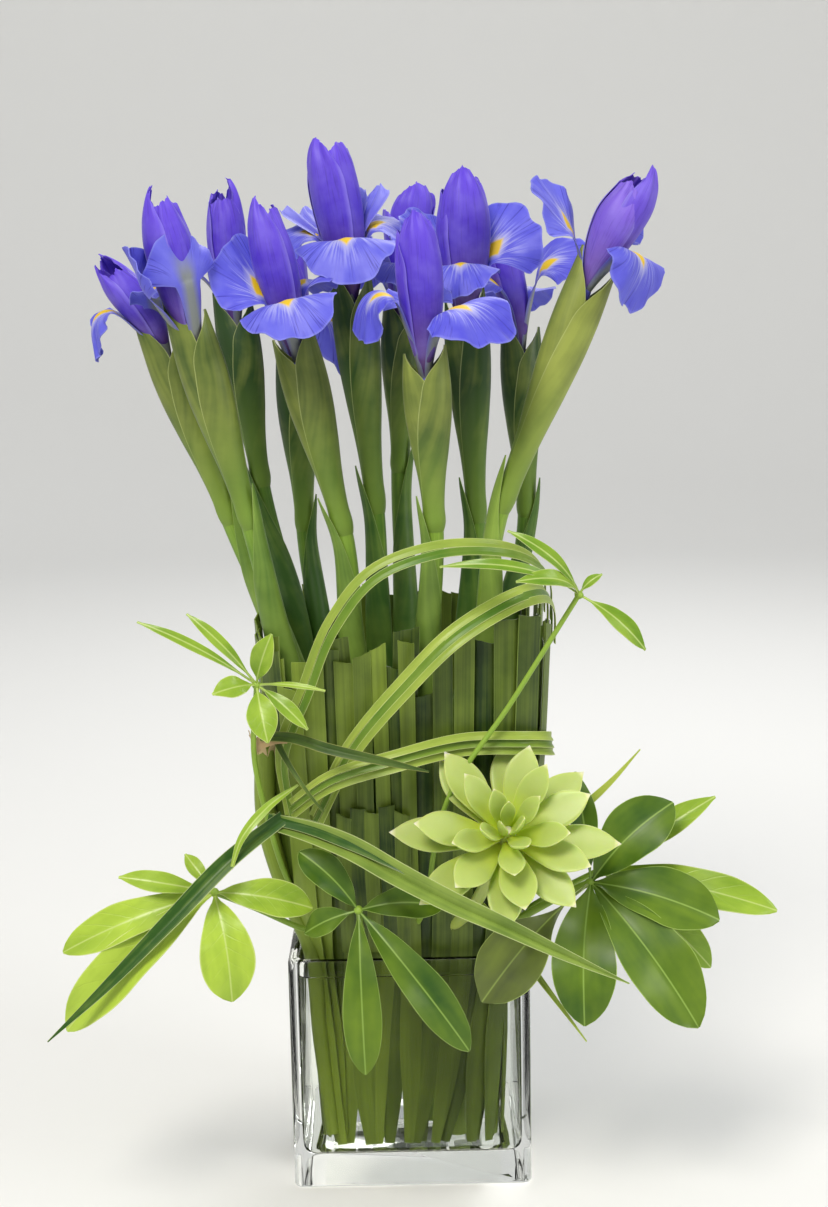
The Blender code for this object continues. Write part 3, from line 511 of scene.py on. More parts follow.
def squares(profile, per_corner=9):
    """A closed form of rounded squares, given as half width, corner radius and
    height."""
    points = []
    for half, radius, z in profile:
        for c, (sx, sy) in enumerate([(1, -1), (1, 1), (-1, 1), (-1, -1)]):
            for k in range(per_corner + 1):
                a = math.radians(-90 + 90 * c + 90 * k / per_corner)
                points.append((sx * (half - radius) + radius * math.cos(a),
                               sy * (half - radius) + radius * math.sin(a), z))
    shape, blank = Shape(), np.zeros((len(points), 3))
    shape.add(np.array(points), blank, blank, ring_faces(len(profile), 4 * (per_corner + 1)), 0)
    return shape


# ------------------------------------------------------------------ strap bundle

STRAP_SEED, ROUND_STRAPS, INNER_STRAPS = 11, 30, 15
FOOT, RIM = 19.5, 126          # height of the leaves' lower ends, and of the vase's rim
FLAT = 0.58                    # share of each side of the bundle that is flat; its corners are round
# Height, and half the bundle's width there: upright in the glass, wider above.
FLARE = [(16, 50), (126, 55.4), (160, 66), (220, 71.5), (300, 76)]

# Leaves along the front: middle at the top, at the tie, at the rim, half way
# down the water and at the foot; height of the cut end; width above and below;
# how far behind the front row; shade, which is the leaf's own tone and painted
# shade too: leaves set further behind, in the gaps, are darker.
FRONT_STRAPS = [
    (-66, -62, -54, -49, -40, 284, 13, 9, 1.0, 0.55), (-57, -54, -50, -46, -37, 271, 13, 12, -1.2, 0.8),
    (-47, -46, -45, -41, -36, 285, 16, 11, 0.6, 0.68), (-37, -36, -36, -36, -34, 290, 11, 10, 3.4, 0.3),
    (-29, -28, -28, -31, -33, 284, 10, 10, 1.6, 0.5), (-20, -20, -21, -24, -22, 288, 9, 11, -0.6, 0.36),
    (-12, -11, -13, -17, -18, 292, 8, 11, 0.2, 0.6), (-5, -4, -6, -9, -12, 281, 7, 11, 1.3, 0.22),
    (2, 2, 1, 0, -2, 294, 8, 10, 0.6, 0.52), (10, 9, 8, 6, 5, 266, 10, 11, 3.4, 0.16),
    (20, 19, 17, 12, 2, 290, 10, 10, 0.8, 0.3), (31, 29, 27, 22, 12, 297, 10, 10, 0.2, 0.48),
    (41, 39, 36, 30, 17, 293, 11, 11, 2.4, 0.2), (52, 50, 44, 37, 31, 304, 13, 11, 0.8, 0.44),
    (65, 60, 51, 45, 41, 305, 14, 10, -0.8, 0.36), (71, 65, 54, 49, 44, 299, 12, 9, 2.2, 0.2),
]
SHORT_STRAPS = [(-31, 205, 8, 0.42), (-24, 209, 8, 0.25), (-17, 207, 8, 0.5), (-9, 210, 8, 0.2),
                (-2, 206, 8, 0.4)]


def half_width(z, depth):
    """Half the bundle's width at a height, depth behind its outermost leaves."""
    return float(np.interp(z, [z for z, _ in FLARE], [half for _, half in FLARE])) - depth


def tuck(z, depth):
    """A leaf's depth behind the outermost ones, a little more inside the glass."""
    return depth + (1.8 if z < RIM else 0)


def round_place(share, z, depth):
    """A place on the bundle and the direction outwards, from the share of the
    way round it, counted from the middle of its front."""
    half = half_width(z, depth)
    flat, r = half * FLAT, half * (1 - FLAT)
    arc = math.pi * r / 2
    turn, run = divmod((share % 1.0) * (8 * flat + 4 * arc) + flat, 2 * flat + arc)
    if run <= 2 * flat:
        p, n = (run - flat, -half), (0.0, -1.0)
    else:
        a = (run - 2 * flat) / r
        n = (math.sin(a), -math.cos(a))
        p = (flat + n[0] * r, -flat + n[1] * r)
    c, s = [(1, 0), (0, 1), (-1, 0), (0, -1)][int(turn) % 4]
    return (np.array([p[0] * c - p[1] * s, p[0] * s + p[1] * c, z]),
            np.array([n[0] * c - n[1] * s, n[0] * s + n[1] * c, 0]))


def front_place(x, z, depth):
    """A place on the bundle's front and the direction outwards, from its x."""
    half = half_width(z, depth)
    flat = half * FLAT
    if abs(x) <= flat:
        return np.array([x, -half, z]), np.array([0, -1.0, 0])
    r = half - flat
    a = min(abs(x) - flat, 1.5 * r) / r
    out = np.array([math.copysign(math.sin(a), x), -math.cos(a), 0])
    return np.array([math.copysign(flat, x), -flat, z]) + out * r, out


def strap(shape, places, widths, tone, crease, rng):
    """One strap leaf, cut at both ends, from places with outward directions,
    the lowest first."""
    pts, outs = (np.array([place[k] for place in places]) for k in (0, 1))
    n, m = 26, 7
    run = np.concatenate([[0], np.cumsum(np.linalg.norm(np.diff(pts, axis=0), axis=1))])
    at = np.linspace(0, run[-1], n)
    path = ease(np.column_stack([run, pts]), at)
    out = unit(ease(np.column_stack([run, outs]), at))
    t = unit(np.gradient(path, axis=0))
    side = unit(np.cross(t, out))
    up = np.cross(side, t)
    w = ease(widths, np.linspace(0, 1, n))[:, None] / 2
    a = np.linspace(-1, 1, m)[None]
    fold = w * crease * (0.5 - np.abs(a))
    rows = path[:, None] + side[:, None] * (w * a)[..., None] + up[:, None] * fold[..., None]
    cut = rng.uniform(-2.2, 2.2)
    rows[-1, :, 2] += cut * np.linspace(-1, 1, m) + np.array([rng.uniform(-0.3, 0.3) for _ in range(m)])
    shape.sheet(rows, bpy.context.scene.arrangement.strap_thickness / MM, 0, tone, 0.0, 0.8)


def make_strap_bundle():
    """The bunch of strap leaves that lines the glass, and a cut cane with it."""
    rng = random.Random(STRAP_SEED)
    shape = Shape()
    for top, tie, rim, mid, foot, high, wide, low, depth, tone in FRONT_STRAPS:
        xs = [(FOOT, foot), (45, (foot + mid) / 2 + rng.uniform(-1, 1)), (80, mid), (118, rim),
              (150, (rim + tie) / 2), (200, tie), (high, top)]
        places = [front_place(x, z, tuck(z, depth)) for z, x in xs]
        widths = ((0, low * 0.45), (0.12, low), (0.36, low + 1), (0.6, wide * 0.97), (1, wide))
        # painted shade: leaves whose tops stand to the right, away from the main lamp, are darkened by up to 30%
        shade = tone * (1.08 - 0.3 * smooth(top, -10, 60))
        strap(shape, places, widths, shade, rng.uniform(0.08, 0.3), rng)
    for i in range(ROUND_STRAPS):                # the sides and the back
        share = 0.125 + 0.75 * (i + rng.uniform(-0.25, 0.25)) / (ROUND_STRAPS - 1)
        depth = rng.choice((0.4, 1.6, 2.8))
        high = 291 + rng.uniform(-7, 8)
        lean, drift = rng.uniform(-0.008, 0.008), rng.uniform(-0.03, 0.03)
        moves = ((FOOT, drift), (45, drift * 0.7), (80, drift * 0.3), (118, 0), (150, 0), (200, 0),
                 (high, lean))
        places = [round_place(share + move, z, tuck(z, depth)) for z, move in moves]
        wide = rng.uniform(12, 15)
        widths = ((0, 4.5), (0.12, 9), (0.36, 10.5), (0.6, wide), (1, wide))
        shade, crease = rng.uniform(0.22, 0.6), rng.uniform(0.08, 0.3)
        strap(shape, places, widths, shade, crease, rng)
    for i in range(INNER_STRAPS):                # a looser ring within them
        share = (i + rng.uniform(-0.3, 0.3)) / INNER_STRAPS
        high = rng.uniform(287, 302)
        moves = ((90, 0), (118, 0), (150, 0), (200, 0), (high, rng.uniform(-0.01, 0.01)))
        places = [round_place(share + move, z, 5.2 + rng.uniform(0, 2)) for z, move in moves]
        strap(shape, places, ((0, 9), (0.5, 12), (1, 13)), rng.uniform(0.2, 0.5), 0.2, rng)
    for x, high, wide, tone in SHORT_STRAPS:     # a short row of cut ends in front
        places = []
        for z in (128, 150, 180, high):
            stray, free = rng.uniform(-1, 1), z > 150
            places.append(front_place(x + stray * free, z, -1.5 - 1.2 * free))
        strap(shape, places, ((0, wide * 0.8), (1, wide)), tone, 0.25, rng)
    cane = route([(-42, -47, 26), (-47, -48, 80), (-51, -49, 128), (-62, -54, 160), (-71, -58, 200),
                  (-70, -60, 239)], 50)
    shape.tube(cane, np.linspace(3.6, 5.6, 50), tone=0.75)
    for k in range(7):                           # papery shreds round the cane's torn end
        out = np.array([math.cos(0.9 * k), math.sin(0.9 * k), 0])
        foot = cane[-1] + out * 4.6 - np.array([0, 0, 5])
        tip = foot + out * (2 + 3 * rng.random()) + np.array([0, 0, rng.uniform(9, 15)])
        middle = foot + out * 1.5 + np.array([0, 0, 6])
        rows = strip([foot, middle, tip], ((0, 4.5), (0.6, 3.5), (1, 0.8)), out, 10, 5)
        shape.sheet(rows, 0.35, 0, 0.7, 0.8)
    shape.build("strap_leaves", ["strap"], ["strap_bundle"], "strap_green")


# ------------------------------------------------------------------ irises

BLOOM_SEED = 31                # of the first bloom; the others follow
STEM_R = 4.8                   # radius of a cane
MARK = 0.45                    # how far along a fall its yellow mark is
FAN = math.radians(80)         # how far a fall's blade opens to each side
# Half the width along a fall's narrow foot; and round the standards, from their
# foot up, their radius and how far each reaches round, to each side.
HAFT = ((0, 2.2), (0.25, 3.2), (0.6, 4.6), (0.85, 5.6), (1, 7.0))
BUD = ((-0.12, 0.16), (0.08, 0.52), (0.3, 0.84), (0.52, 1.0), (0.74, 0.98), (0.88, 0.84), (0.96, 0.62),
       (1.02, 0.34))
SPAN = ((0, 60), (0.3, 84), (0.7, 88), (0.88, 84), (1, 66))
# Up a pair of bracts: their half width, half depth, and how far each reaches
# round, which falls away to the tip.
BRACT_WIDE = ((-0.04, 4.3), (0.0, 5.3), (0.12, 5.4), (0.3, 6.5), (0.5, 8.9), (0.68, 10.8), (0.84, 11.3),
              (1.0, 10.5), (1.15, 9.4), (1.32, 7.8))
BRACT_DEEP = ((-0.04, 4.3), (0.0, 5.2), (0.12, 5.3), (0.3, 6.2), (0.5, 7.8), (0.68, 9.0), (0.84, 8.8),
              (1.0, 7.6), (1.15, 6.4), (1.32, 5.0))
BRACT_REACH = ((-0.03, 152), (0.3, 140), (0.55, 122), (0.72, 106), (0.82, 94), (0.88, 74), (0.93, 48),
               (0.97, 26), (1, 2.5))
# Irises whose left bract lies over the right one, and whose sheath leaf is at
# their left.
LEFT_OVER = ("left_ragged", "front", "right_mid")
LEFT_SHEATH = ("left_back", "left_ragged", "tallest", "front", "right_mid", "far_right")
BACK_FALLS = [(turn, 34, 80, 45, 34, -50, 42, 0) for turn in (30, 150, 270)]

# Each iris: foot, bend, base and top of its stem; its bloom; shade and tips of
# its bracts, where the shade is painted shade and light that also colours the
# cane and sheath: darker for the irises at the back, in shade, lighter in front.
# A bloom is its falls, as azimuth (0 to the right, 90 to the back),
# length of haft, angle at its foot and at the mark, length of blade, angle at
# the tip, width, roll; its bud of standards, as turn, lean to the right and
# back, height, radius, how far the tips open; crests, as azimuth, reach and
# height; and shade.
IRISES = [
    ("far_left", (-37, -6), (-64, -14, 286), (-88, -18, 350), (-119, -19, 440),
     ([(186, 33, 72, 50, 34, -86, 26, 14), (308, 29, 84, 62, 26, -14, 30, 10), (62, 34, 84, 66, 26, 38, 26, 0)],
      (60, -13, -4, 51, 10.0, -0.6), [], 0.5), 0.5, 1.2, 1.05),
    ("left_bud", (-36, -25), (-62, -42, 287), (-75, -50, 352), (-99, -58, 444),
     ([(306, 36, 70, 80, 26, 100, 38, 0), (204, 34, 70, 70, 28, 92, 34, 30), (75, 34, 72, 76, 28, 96, 30, 0)],
      (190, 4, 0, 73, 11.5, -0.55), [], 0.4), 0.42, 1.3, 1.12),
    ("left_back", (-36, 12), (-57, 30, 282), (-76, 40, 362), (-88, 48, 452),
     ([(190, 34, 80, 45, 34, -50, 42, 0), (318, 34, 80, 45, 38, -55, 46, 0), (70, 34, 80, 45, 30, 10, 40, 0)],
      (20, 6, 0, 72, 10.2, -0.35), [(0, 20, 44)], 0.4), 0.15, 1.15, 1.08),
    ("left_ragged", (-17, -28), (-24, -36, 270), (-29, -38, 346), (-50, -42, 438),
     ([(278, 35, 80, 30, 33, -58, 48, 0), (192, 34, 84, 74, 36, 64, 46, 58), (60, 36, 82, 50, 30, -30, 36, 0)],
      (225, 1, 0, 74, 10.6, -0.4), [], 0.5), 0.45, 1.14, 1.06),
    ("mid_back", (-18, 20), (-46, 46, 276), (-54, 62, 334), (-57, 70, 424),
     ([(316, 34, 76, 34, 52, -86, 40, 0), (200, 34, 80, 45, 34, -50, 42, 0), (80, 34, 80, 45, 34, -50, 42, 0)],
      (0, 0, 0, 68, 9.5, 0.1), [], 0.3), 0.12, 1.12, 1.05),
    ("tallest", (-14, -4), (-12, -2, 270), (-13, 2, 352), (-23, 5, 466),
     ([(272, 35, 80, 30, 38, -66, 50, 0), (170, 37, 82, 52, 28, -26, 40, 30),
       (14, 37, 82, 56, 27, -38, 36, -28)],
      (210, -5, 0, 76, 12.4, 0.05), [(146, 30, 44), (38, 20, 50)], 0.55), 0.2, 1.14, 1.08),
    ("right_back", (2, 24), (2, 44, 272), (0, 60, 366), (3, 68, 450),
     (BACK_FALLS, (300, 4, 0, 70, 11.5, 0.6), [(200, 22, 40)], 0.45), 0.25, 1.14, 1.06),
    ("front", (3, -28), (12, -54, 272), (17, -63, 350), (14, -67, 430),
     ([(322, 34, 82, 44, 40, -52, 52, -12), (192, 40, 80, 58, 36, -90, 32, 14), (95, 36, 82, 50, 30, 0, 34, 0)],
      (270, -1, 2, 72, 10.6, -0.25), [], 0.4), 0.5, 1.1, 1.06),
    ("right_mid", (10, -2), (34, 0, 270), (40, 2, 346), (36, 4, 452),
     ([(266, 35, 80, 34, 30, -60, 38, 0), (12, 36, 82, 58, 36, 34, 48, -58), (168, 36, 84, 66, 34, 50, 38, 42)],
      (268, 2, 0, 73, 13.4, -0.3), [(150, 24, 46)], 0.5), 0.18, 1.12, 1.06),
    ("right_far_back", (26, 20), (57, 43, 274), (70, 58, 340), (68, 66, 436),
     ([(342, 44, 84, 60, 33, -6, 38, -48), (85, 36, 80, 50, 34, -40, 40, 0), (205, 36, 82, 60, 30, 0, 32, 30)],
      (30, -13, 0, 62, 9.0, 0.1), [], 0.5), 0.2, 1.14, 1.06),
    ("far_right", (24, -26), (40, -32, 270), (52, -34, 356), (98, -34, 470),
     ([(180, 26, 68, 46, 36, 34, 42, 27), (322, 25, 74, 46, 40, -100, 50, 0), (70, 30, 78, 60, 26, 20, 26, 0)],
      (340, 7, 0, 59, 12.4, -0.6), [], 0.93), 0.72, 1.1, 1.04),
]


def frame_of(base, tip):
    """Directions up along a stem, to its right and to its back."""
    up = unit(tip - base)
    right = unit(np.array([1.0, 0, 0]) - up * up[0])
    return up, right, np.cross(up, right)


def fall(start, out, up, spec, ruffle, rng):
    """Rows of a fall: a narrow haft rises to the yellow mark, and a fan-shaped
    blade bends over from there."""
    _, haft, e0, e1, blade, e2, width, roll = spec
    n_haft, n_blade, m = 12, 30, 37
    total = haft + blade
    d = np.linspace(0, total * 1.1, 200)
    e = np.radians(ease(((0, e0), (haft * 0.55, e0 * 0.7 + e1 * 0.3), (haft, e1),
                         (haft + blade * 0.4, e1 * 0.25 + e2 * 0.75), (total * 1.1, e2)), d))[:, None]
    t = out * np.cos(e) + up * np.sin(e)
    path = start + np.concatenate([[np.zeros(3)], np.cumsum((t[1:] + t[:-1]) / 2 * d[1], axis=0)])
    side = np.broadcast_to(unit(np.cross(out, up)), t.shape)
    nrm = up * np.cos(e) - out * np.sin(e)
    turn = np.radians(roll) * smooth(d, haft * 0.6, haft + blade * 0.45)[:, None]
    side, nrm = side * np.cos(turn) + nrm * np.sin(turn), nrm * np.cos(turn) - side * np.sin(turn)
    a = np.linspace(-1, 1, m)[None]
    u = np.linspace(0, 1, n_haft, endpoint=False)[:, None]
    v = np.linspace(0, 1, n_blade)[:, None]
    p1, p2, p3 = (rng.uniform(0, 6.3) for _ in range(3))
    rim = v ** 1.6
    spread = FAN * a
    frill = 0.03 * np.sin(7 * a + p1) + 0.02 * np.sin(17 * a + p2) - 0.05 * np.exp(-(a * 7) ** 2)
    ray = blade * v * (1 - 0.24 * a * a) * (1 + rim ** 3 * frill)
    fit = (width / 2 - 3) / (blade * 0.76 * math.sin(FAN))
    across = np.concatenate([ease(HAFT, u[:, 0])[:, None] * a,
                             7.0 * a * (1 - v) ** 2 + 3.0 * a * v + ray * np.sin(spread) * fit])
    along = np.concatenate([haft * u + 0 * a, haft + ray * np.cos(spread)])
    x_blade = across[n_haft:]
    lift_haft = 1.6 * a * a * (1 - u) + 0.5 * u * a * a
    cup = 0.022 if e2 > 75 else -0.0055          # unopened blades wrap inwards
    ripple = np.sin(5.2 * a + p1 + 2.2 * v) + 0.55 * np.sin(10.5 * a + p2) * v + 0.42 * np.sin(23 * a + p3) * v ** 4
    lift_blade = (0.5 * a * a * (1 - v) + cup * x_blade ** 2 * v + ruffle * rim * ripple
                  + 0.9 * np.exp(-(x_blade / 3.2) ** 2) * (1 - v) * smooth(v, 0, 0.08))
    lift = np.concatenate([lift_haft, lift_blade])
    at = lambda field: np.stack([np.interp(along, d, field[:, k]) for k in range(3)], -1)
    return at(path) + at(side) * across[..., None] + at(nrm) * lift[..., None]


def bud(shape, start, axes, spec, tone, thick, rng):
    """The standards: three broad petals wrapped round each other into an
    upright, nearly closed bud with crumpled tips."""
    right, back, up = axes
    turn, lean_x, lean_y, high, radius, open_ = spec
    s = np.linspace(0, 1, 40)[:, None]
    a = np.linspace(-1, 1, 27)[None]
    for k in range(3):
        p1, p2, p3 = (rng.uniform(0, 6.3) for _ in range(3))
        tall = high * (1 - (0.04 + 0.1 * abs(open_)) * k)
        torn = 1.0 * np.sin(5.5 * a + p1) + 0.8 * np.sin(12 * a + p2) + 0.5 * np.sin(29 * a + p3)
        h = -8 + (tall + 8) * s * (1 - 0.10 * np.abs(a) ** 3) + torn * (0.45 + 0.6 * abs(open_)) * s ** 7
        share = h / high
        r = ease(BUD, share.ravel()).reshape(share.shape) * radius
        r = r + (0.9 - 0.2 * k) * a * smooth(s, 0.1, 0.4) + open_ * radius * 0.45 * smooth(s, 0.55, 1.0) ** 2
        r = r + 0.3 * np.sin(9 * a + p2 + 3 * s) * smooth(s, 0.3, 1.0) + 0.8 * s ** 6 * np.sin(11 * a + p3)
        phi = np.radians(turn + 120 * k + ease(SPAN, s[:, 0])[:, None] * a)
        bent = np.clip(share, 0, 1.1) ** 1.3
        rows = (start + up * h[..., None] + (right * lean_x + back * lean_y) * bent[..., None]
                + (right * np.cos(phi)[..., None] + back * np.sin(phi)[..., None]) * r[..., None])
        shape.sheet(rows, thick, 1, np.clip(tone + rng.uniform(-0.12, 0.12), 0, 1))


def crest(shape, start, axes, azimuth, reach, high, thick, rng):
    """The two ruffled lobes at the end of a style arm, above a fall's mark."""
    right, back, up = axes
    out = right * math.cos(math.radians(azimuth)) + back * math.sin(math.radians(azimuth))
    side = np.cross(out, up)
    s = np.linspace(0, 1, 18)[:, None]
    a = np.linspace(-1, 1, 15)[None]
    for turn in (-1, 1):
        p1, p2 = rng.uniform(0, 6.3), rng.uniform(0, 6.3)
        wide = ease(((0, 2.5), (0.3, 6), (0.7, 10.5), (0.9, 9.5), (1, 6)), s[:, 0])[:, None]
        h = high * (0.45 + 0.55 * s) + 1.2 * np.sin(7 * a + p1) * s ** 4 - 3 * a * a * s ** 3
        r = 6 + (reach - 6) * s ** 1.2 + 1.3 * np.sin(5 * a + p2) * s
        x = turn * (2 + 6.5 * s) + wide * a * 0.85
        rows = start + up * h[..., None] + out * r[..., None] + side * x[..., None]
        shape.sheet(rows, thick, 2, rng.uniform(0.3, 0.7))


def bract(shape, base, top, right, back, sign, tip, tone):
    """One of the two overlapping bracts wrapped round the bloom's foot; their
    edges cross at the front and part in a short V below the tips."""
    q = np.linspace(-0.03, 1, 44)
    s = q * tip
    shrink = 0.0 if sign > 0 else 0.6            # so that the one lies within the other
    a = np.linspace(-1, 1, 27)[None]
    angle = np.radians(ease(BRACT_REACH, q))[:, None] * a
    x = (ease(BRACT_WIDE, s)[:, None] - shrink) * np.cos(angle) * sign
    y = (ease(BRACT_DEEP, s)[:, None] - shrink) * np.sin(angle)
    keel = 0.5 * np.exp(-(a * 4) ** 2) * smooth(s, 0.1, 0.5)[:, None] * sign
    axis = base + (top - base) * s[:, None]
    rows = axis[:, None] + right * (x + keel)[..., None] + back * y[..., None]
    shape.sheet(rows if sign > 0 else rows[:, ::-1], 0.8, 1, tone, 0.0, 0.45)


def sheath(shape, bend, base, top, up, right, sign, tone):
    """The leaf that wraps the cane and frees its pointed tip to one side."""
    n, m = 46, 19
    q = np.linspace(0, 1, n)
    way = route([bend - up * 70, bend - up * 30, bend + (base - bend) * 0.1, base + (top - base) * 0.02,
                 base + (top - base) * 0.2], n)
    t = unit(np.gradient(way, axis=0))
    across = unit(right - t * (t @ right)[:, None])
    behind = np.cross(t, across)
    radius = ease(((0, 7.2), (0.45, 6.9), (0.7, 6.0), (0.85, 6.2), (1, 9.5)), q)[:, None]
    span = np.radians(ease(((0, 165), (0.5, 150), (0.66, 118), (0.78, 70), (0.9, 26), (1, 2)), q))[:, None]
    angle = math.radians(270 - 55 * sign) + span * np.linspace(-1, 1, m)[None]
    rows = (way[:, None] + across[:, None] * (radius * np.cos(angle))[..., None]
            + behind[:, None] * (radius * np.sin(angle))[..., None])
    shape.sheet(rows, 0.7, 2, tone)


def make_stem(spec):
    """One cane with its joint, its sheath leaf and its two bracts."""
    name, foot, bend, base, top, _, tone, tip_a, tip_b = spec
    bend, base, top = (np.array(p, float) for p in (bend, base, top))
    up, right, back = frame_of(base, top)
    shape = Shape()
    path = route([(*foot, 17.6), (*foot, 60), (*foot, 120), bend, base, base + (top - base) * 0.25], 60)
    # painted shade: the cane, its joint, sheath and bracts all take the iris's shade, darker at the back
    shape.tube(path, STEM_R, sides=20, hint=right, tone=tone * 0.7 + 0.15)
    at, knots = np.linspace(0.1, 0.9, 12), [0.1, 0.5, 0.75, 0.9]
    inner = [base + (top - base) * s for s in at]        # the flower's foot, within the bracts
    shape.tube(inner, np.interp(at, knots, [4.4, 6.6, 7.4, 4.0]), np.interp(at, knots, [4.2, 6.0, 6.0, 3.6]),
               sides=20, hint=right, slot=1, tone=tone)
    for sign, tip in ((1, tip_b), (-1, tip_a)):
        bract(shape, base, top, right, back, -sign if name in LEFT_OVER else sign, tip, tone + 0.05 * sign)
    sheath(shape, bend, base, top, up, right, 1 if name in LEFT_SHEATH else -1, tone)
    knee = bend + (base - bend) * 0.12                   # the joint that the sheath leaf springs from
    shape.tube([knee + up * z for z in (-2.2, -0.8, 0.8, 2.2)], [4.85, 5.15, 5.15, 4.85], sides=20, hint=right,
               tone=tone * 0.7 + 0.2)
    shape.build("stem_of_" + name, ["stem", "bract", "sheath"], ["stem_" + name], "stem_green")


def make_bloom(spec, rng):
    """One flower: its tube, falls, standards and style arms."""
    name, _, _, base, top, (falls, standards, crests, tone), *_ = spec
    base, top = np.array(base, float), np.array(top, float)
    up, right, back = frame_of(base, top)
    start = top + up * 0.35
    shape = Shape()
    settings = bpy.context.scene.arrangement
    thick, ruffle = settings.petal_thickness / MM, settings.ruffle / MM
    shape.tube([start + up * z for z in (-20, -14, -9, -6)], [2.6, 3.0, 3.0, 2.2], sides=20, hint=right, slot=2,
               tone=0.4)
    for row in falls:
        angle = math.radians(row[0])
        out = right * math.cos(angle) + back * math.sin(angle)
        rows = fall(start - up * 9 + out * 2.4, out, up, row, ruffle, rng)
        shape.sheet(rows, thick, 0, rng.uniform(0.35, 0.65))
    axes = (right, back, up)
    bud(shape, start, axes, standards, tone, thick, rng)
    for azimuth, reach, high in crests:
        crest(shape, start, axes, azimuth, reach, high, thick, rng)
    shape.build("bloom_of_" + name, ["fall", "standard", "crest"], ["bloom_" + name], "petal_blue")


# ------------------------------------------------------------------ foliage

WHORL_SEED = 51                # of the first whorl; the others follow
SUNK = 84.0                    # height of the stalks' lower ends, under water
# Shares of the width along three kinds of leaflet.
LEAFLET = ((0, 0.05), (0.1, 0.06), (0.2, 0.34), (0.4, 0.82), (0.6, 1.0), (0.8, 0.78), (0.93, 0.36), (1, 0.03))
BROAD = ((0, 0.06), (0.05, 0.12), (0.14, 0.38), (0.3, 0.7), (0.5, 0.94), (0.64, 1.0), (0.8, 0.86), (0.92, 0.54),
         (0.98, 0.22), (1, 0.04))
ROUND = ((0, 0.05), (0.3, 0.1), (0.42, 0.36), (0.56, 0.8), (0.72, 1.0), (0.86, 0.86), (0.95, 0.5), (1, 0.05))

# Each whorl: finish, foot of its stalk and its radius, the stalk's way, and
# its leaflets as tip, width and shade. The shade holds painted light: the
# leaflets of the lower left whorl, where the light falls, are lighter.
WHORLS = [
    ("whorl_left_mid", "bright", (-44, -34), 1.5,
     [(-50, -42, 140), (-62, -62, 172), (-69, -74, 205), (-74, -82, 240), (-71, -88, 277)],
     [(-127, -93, 310, 5.5, 0.4), (-104, -85, 312, 6.5, 0.4), (-62, -99, 304, 12, 0.45),
      (-91, -104, 276, 12, 0.5), (-37, -101, 276, 3, 0.5), (-65, -106, 252, 15, 0.55),
      (-46, -101, 257, 8, 0.4)]),
    ("whorl_left_low", "bright", (-34, -43), 1.6,
     [(-42, -50, 134), (-56, -68, 146), (-76, -84, 162), (-95, -94, 174)],
     [(-141, -98, 184, 11, 0.6), (-169, -104, 148, 20, 0.75), (-168, -110, 110, 25, 0.85),
      (-86, -114, 125, 27, 0.75), (-47, -92, 164, 19, 0.6), (-110, -82, 190, 8, 0.6)]),
    ("whorl_mid_low", "dark", (-22, -43), 1.6,
     [(-23, -52, 134), (-24, -74, 149), (-24, -88, 158), (-24, -96, 164)],
     [(-53, -88, 192, 17, 0.3), (-51, -92, 151, 14, 0.4), (-22, -112, 85, 19, 0.45), (29, -114, 97, 20, 0.36),
      (18, -96, 165, 17, 0.35)]),
    ("whorl_right_low", "dark", (36, -42), 2.2,
     [(46, -48, 134), (64, -60, 149), (80, -66, 160), (93, -72, 168)],
     [(135, -66, 207, 29, 0.35), (86, -62, 223, 14, 0.3), (155, -90, 153, 30, 0.45), (142, -110, 105, 34, 0.45),
      (86, -110, 107, 32, 0.42), (36, -106, 119, 32, 0.3, 0.12)]),
    ("whorl_right_back", "bright", (43, -27), 1.6,
     [(53, -34, 134), (72, -42, 150), (100, -46, 166)],
     [(159, -50, 205, 14, 0.5), (186, -78, 153, 20, 0.5), (156, -58, 116, 20, 0.4)]),
    ("whorl_young", "bright", (0, -43), 1.4,
     [(3, -52, 136), (10, -74, 160), (14, -83, 190), (20, -87, 214), (54, -84, 266), (87, -80, 317)],
     [(52, -88, 350, 7, 0.3), (19, -94, 334, 6, 0.3), (55, -100, 327, 9, 0.35), (98, -82, 327, 5, 0.3),
      (119, -82, 289, 10, 0.35)]),
]


def leaflet(centre, tip, width, bow, table, rng):
    """Rows of an arched leaflet with a crease along its midrib."""
    run = tip - centre
    size = float(np.linalg.norm(run))
    side = unit(np.cross(run, np.array([0, -0.8, 0.6])))
    up = unit(np.cross(side, run))
    n, m = 30, 13
    s = 1.3 / size + (1 - 1.3 / size) * np.linspace(0, 1, n)[:, None]
    w = np.maximum(ease(table, np.linspace(0, 1, n))[:, None] * width, 1.2) / 2
    a = np.linspace(-1, 1, m)[None]
    path = centre + run * s + up * (size * bow * 4 * s * (1 - s))
    lift = w * 0.30 * np.abs(a) ** 1.3 + width * 0.035 * np.sin(s * 17 + rng.uniform(0, 6)) * np.abs(a) ** 2
    bend = width * rng.uniform(-0.10, 0.10) * np.sin(s * math.pi)
    return path[:, None] + side * (w * a + bend)[..., None] + up * lift[..., None]


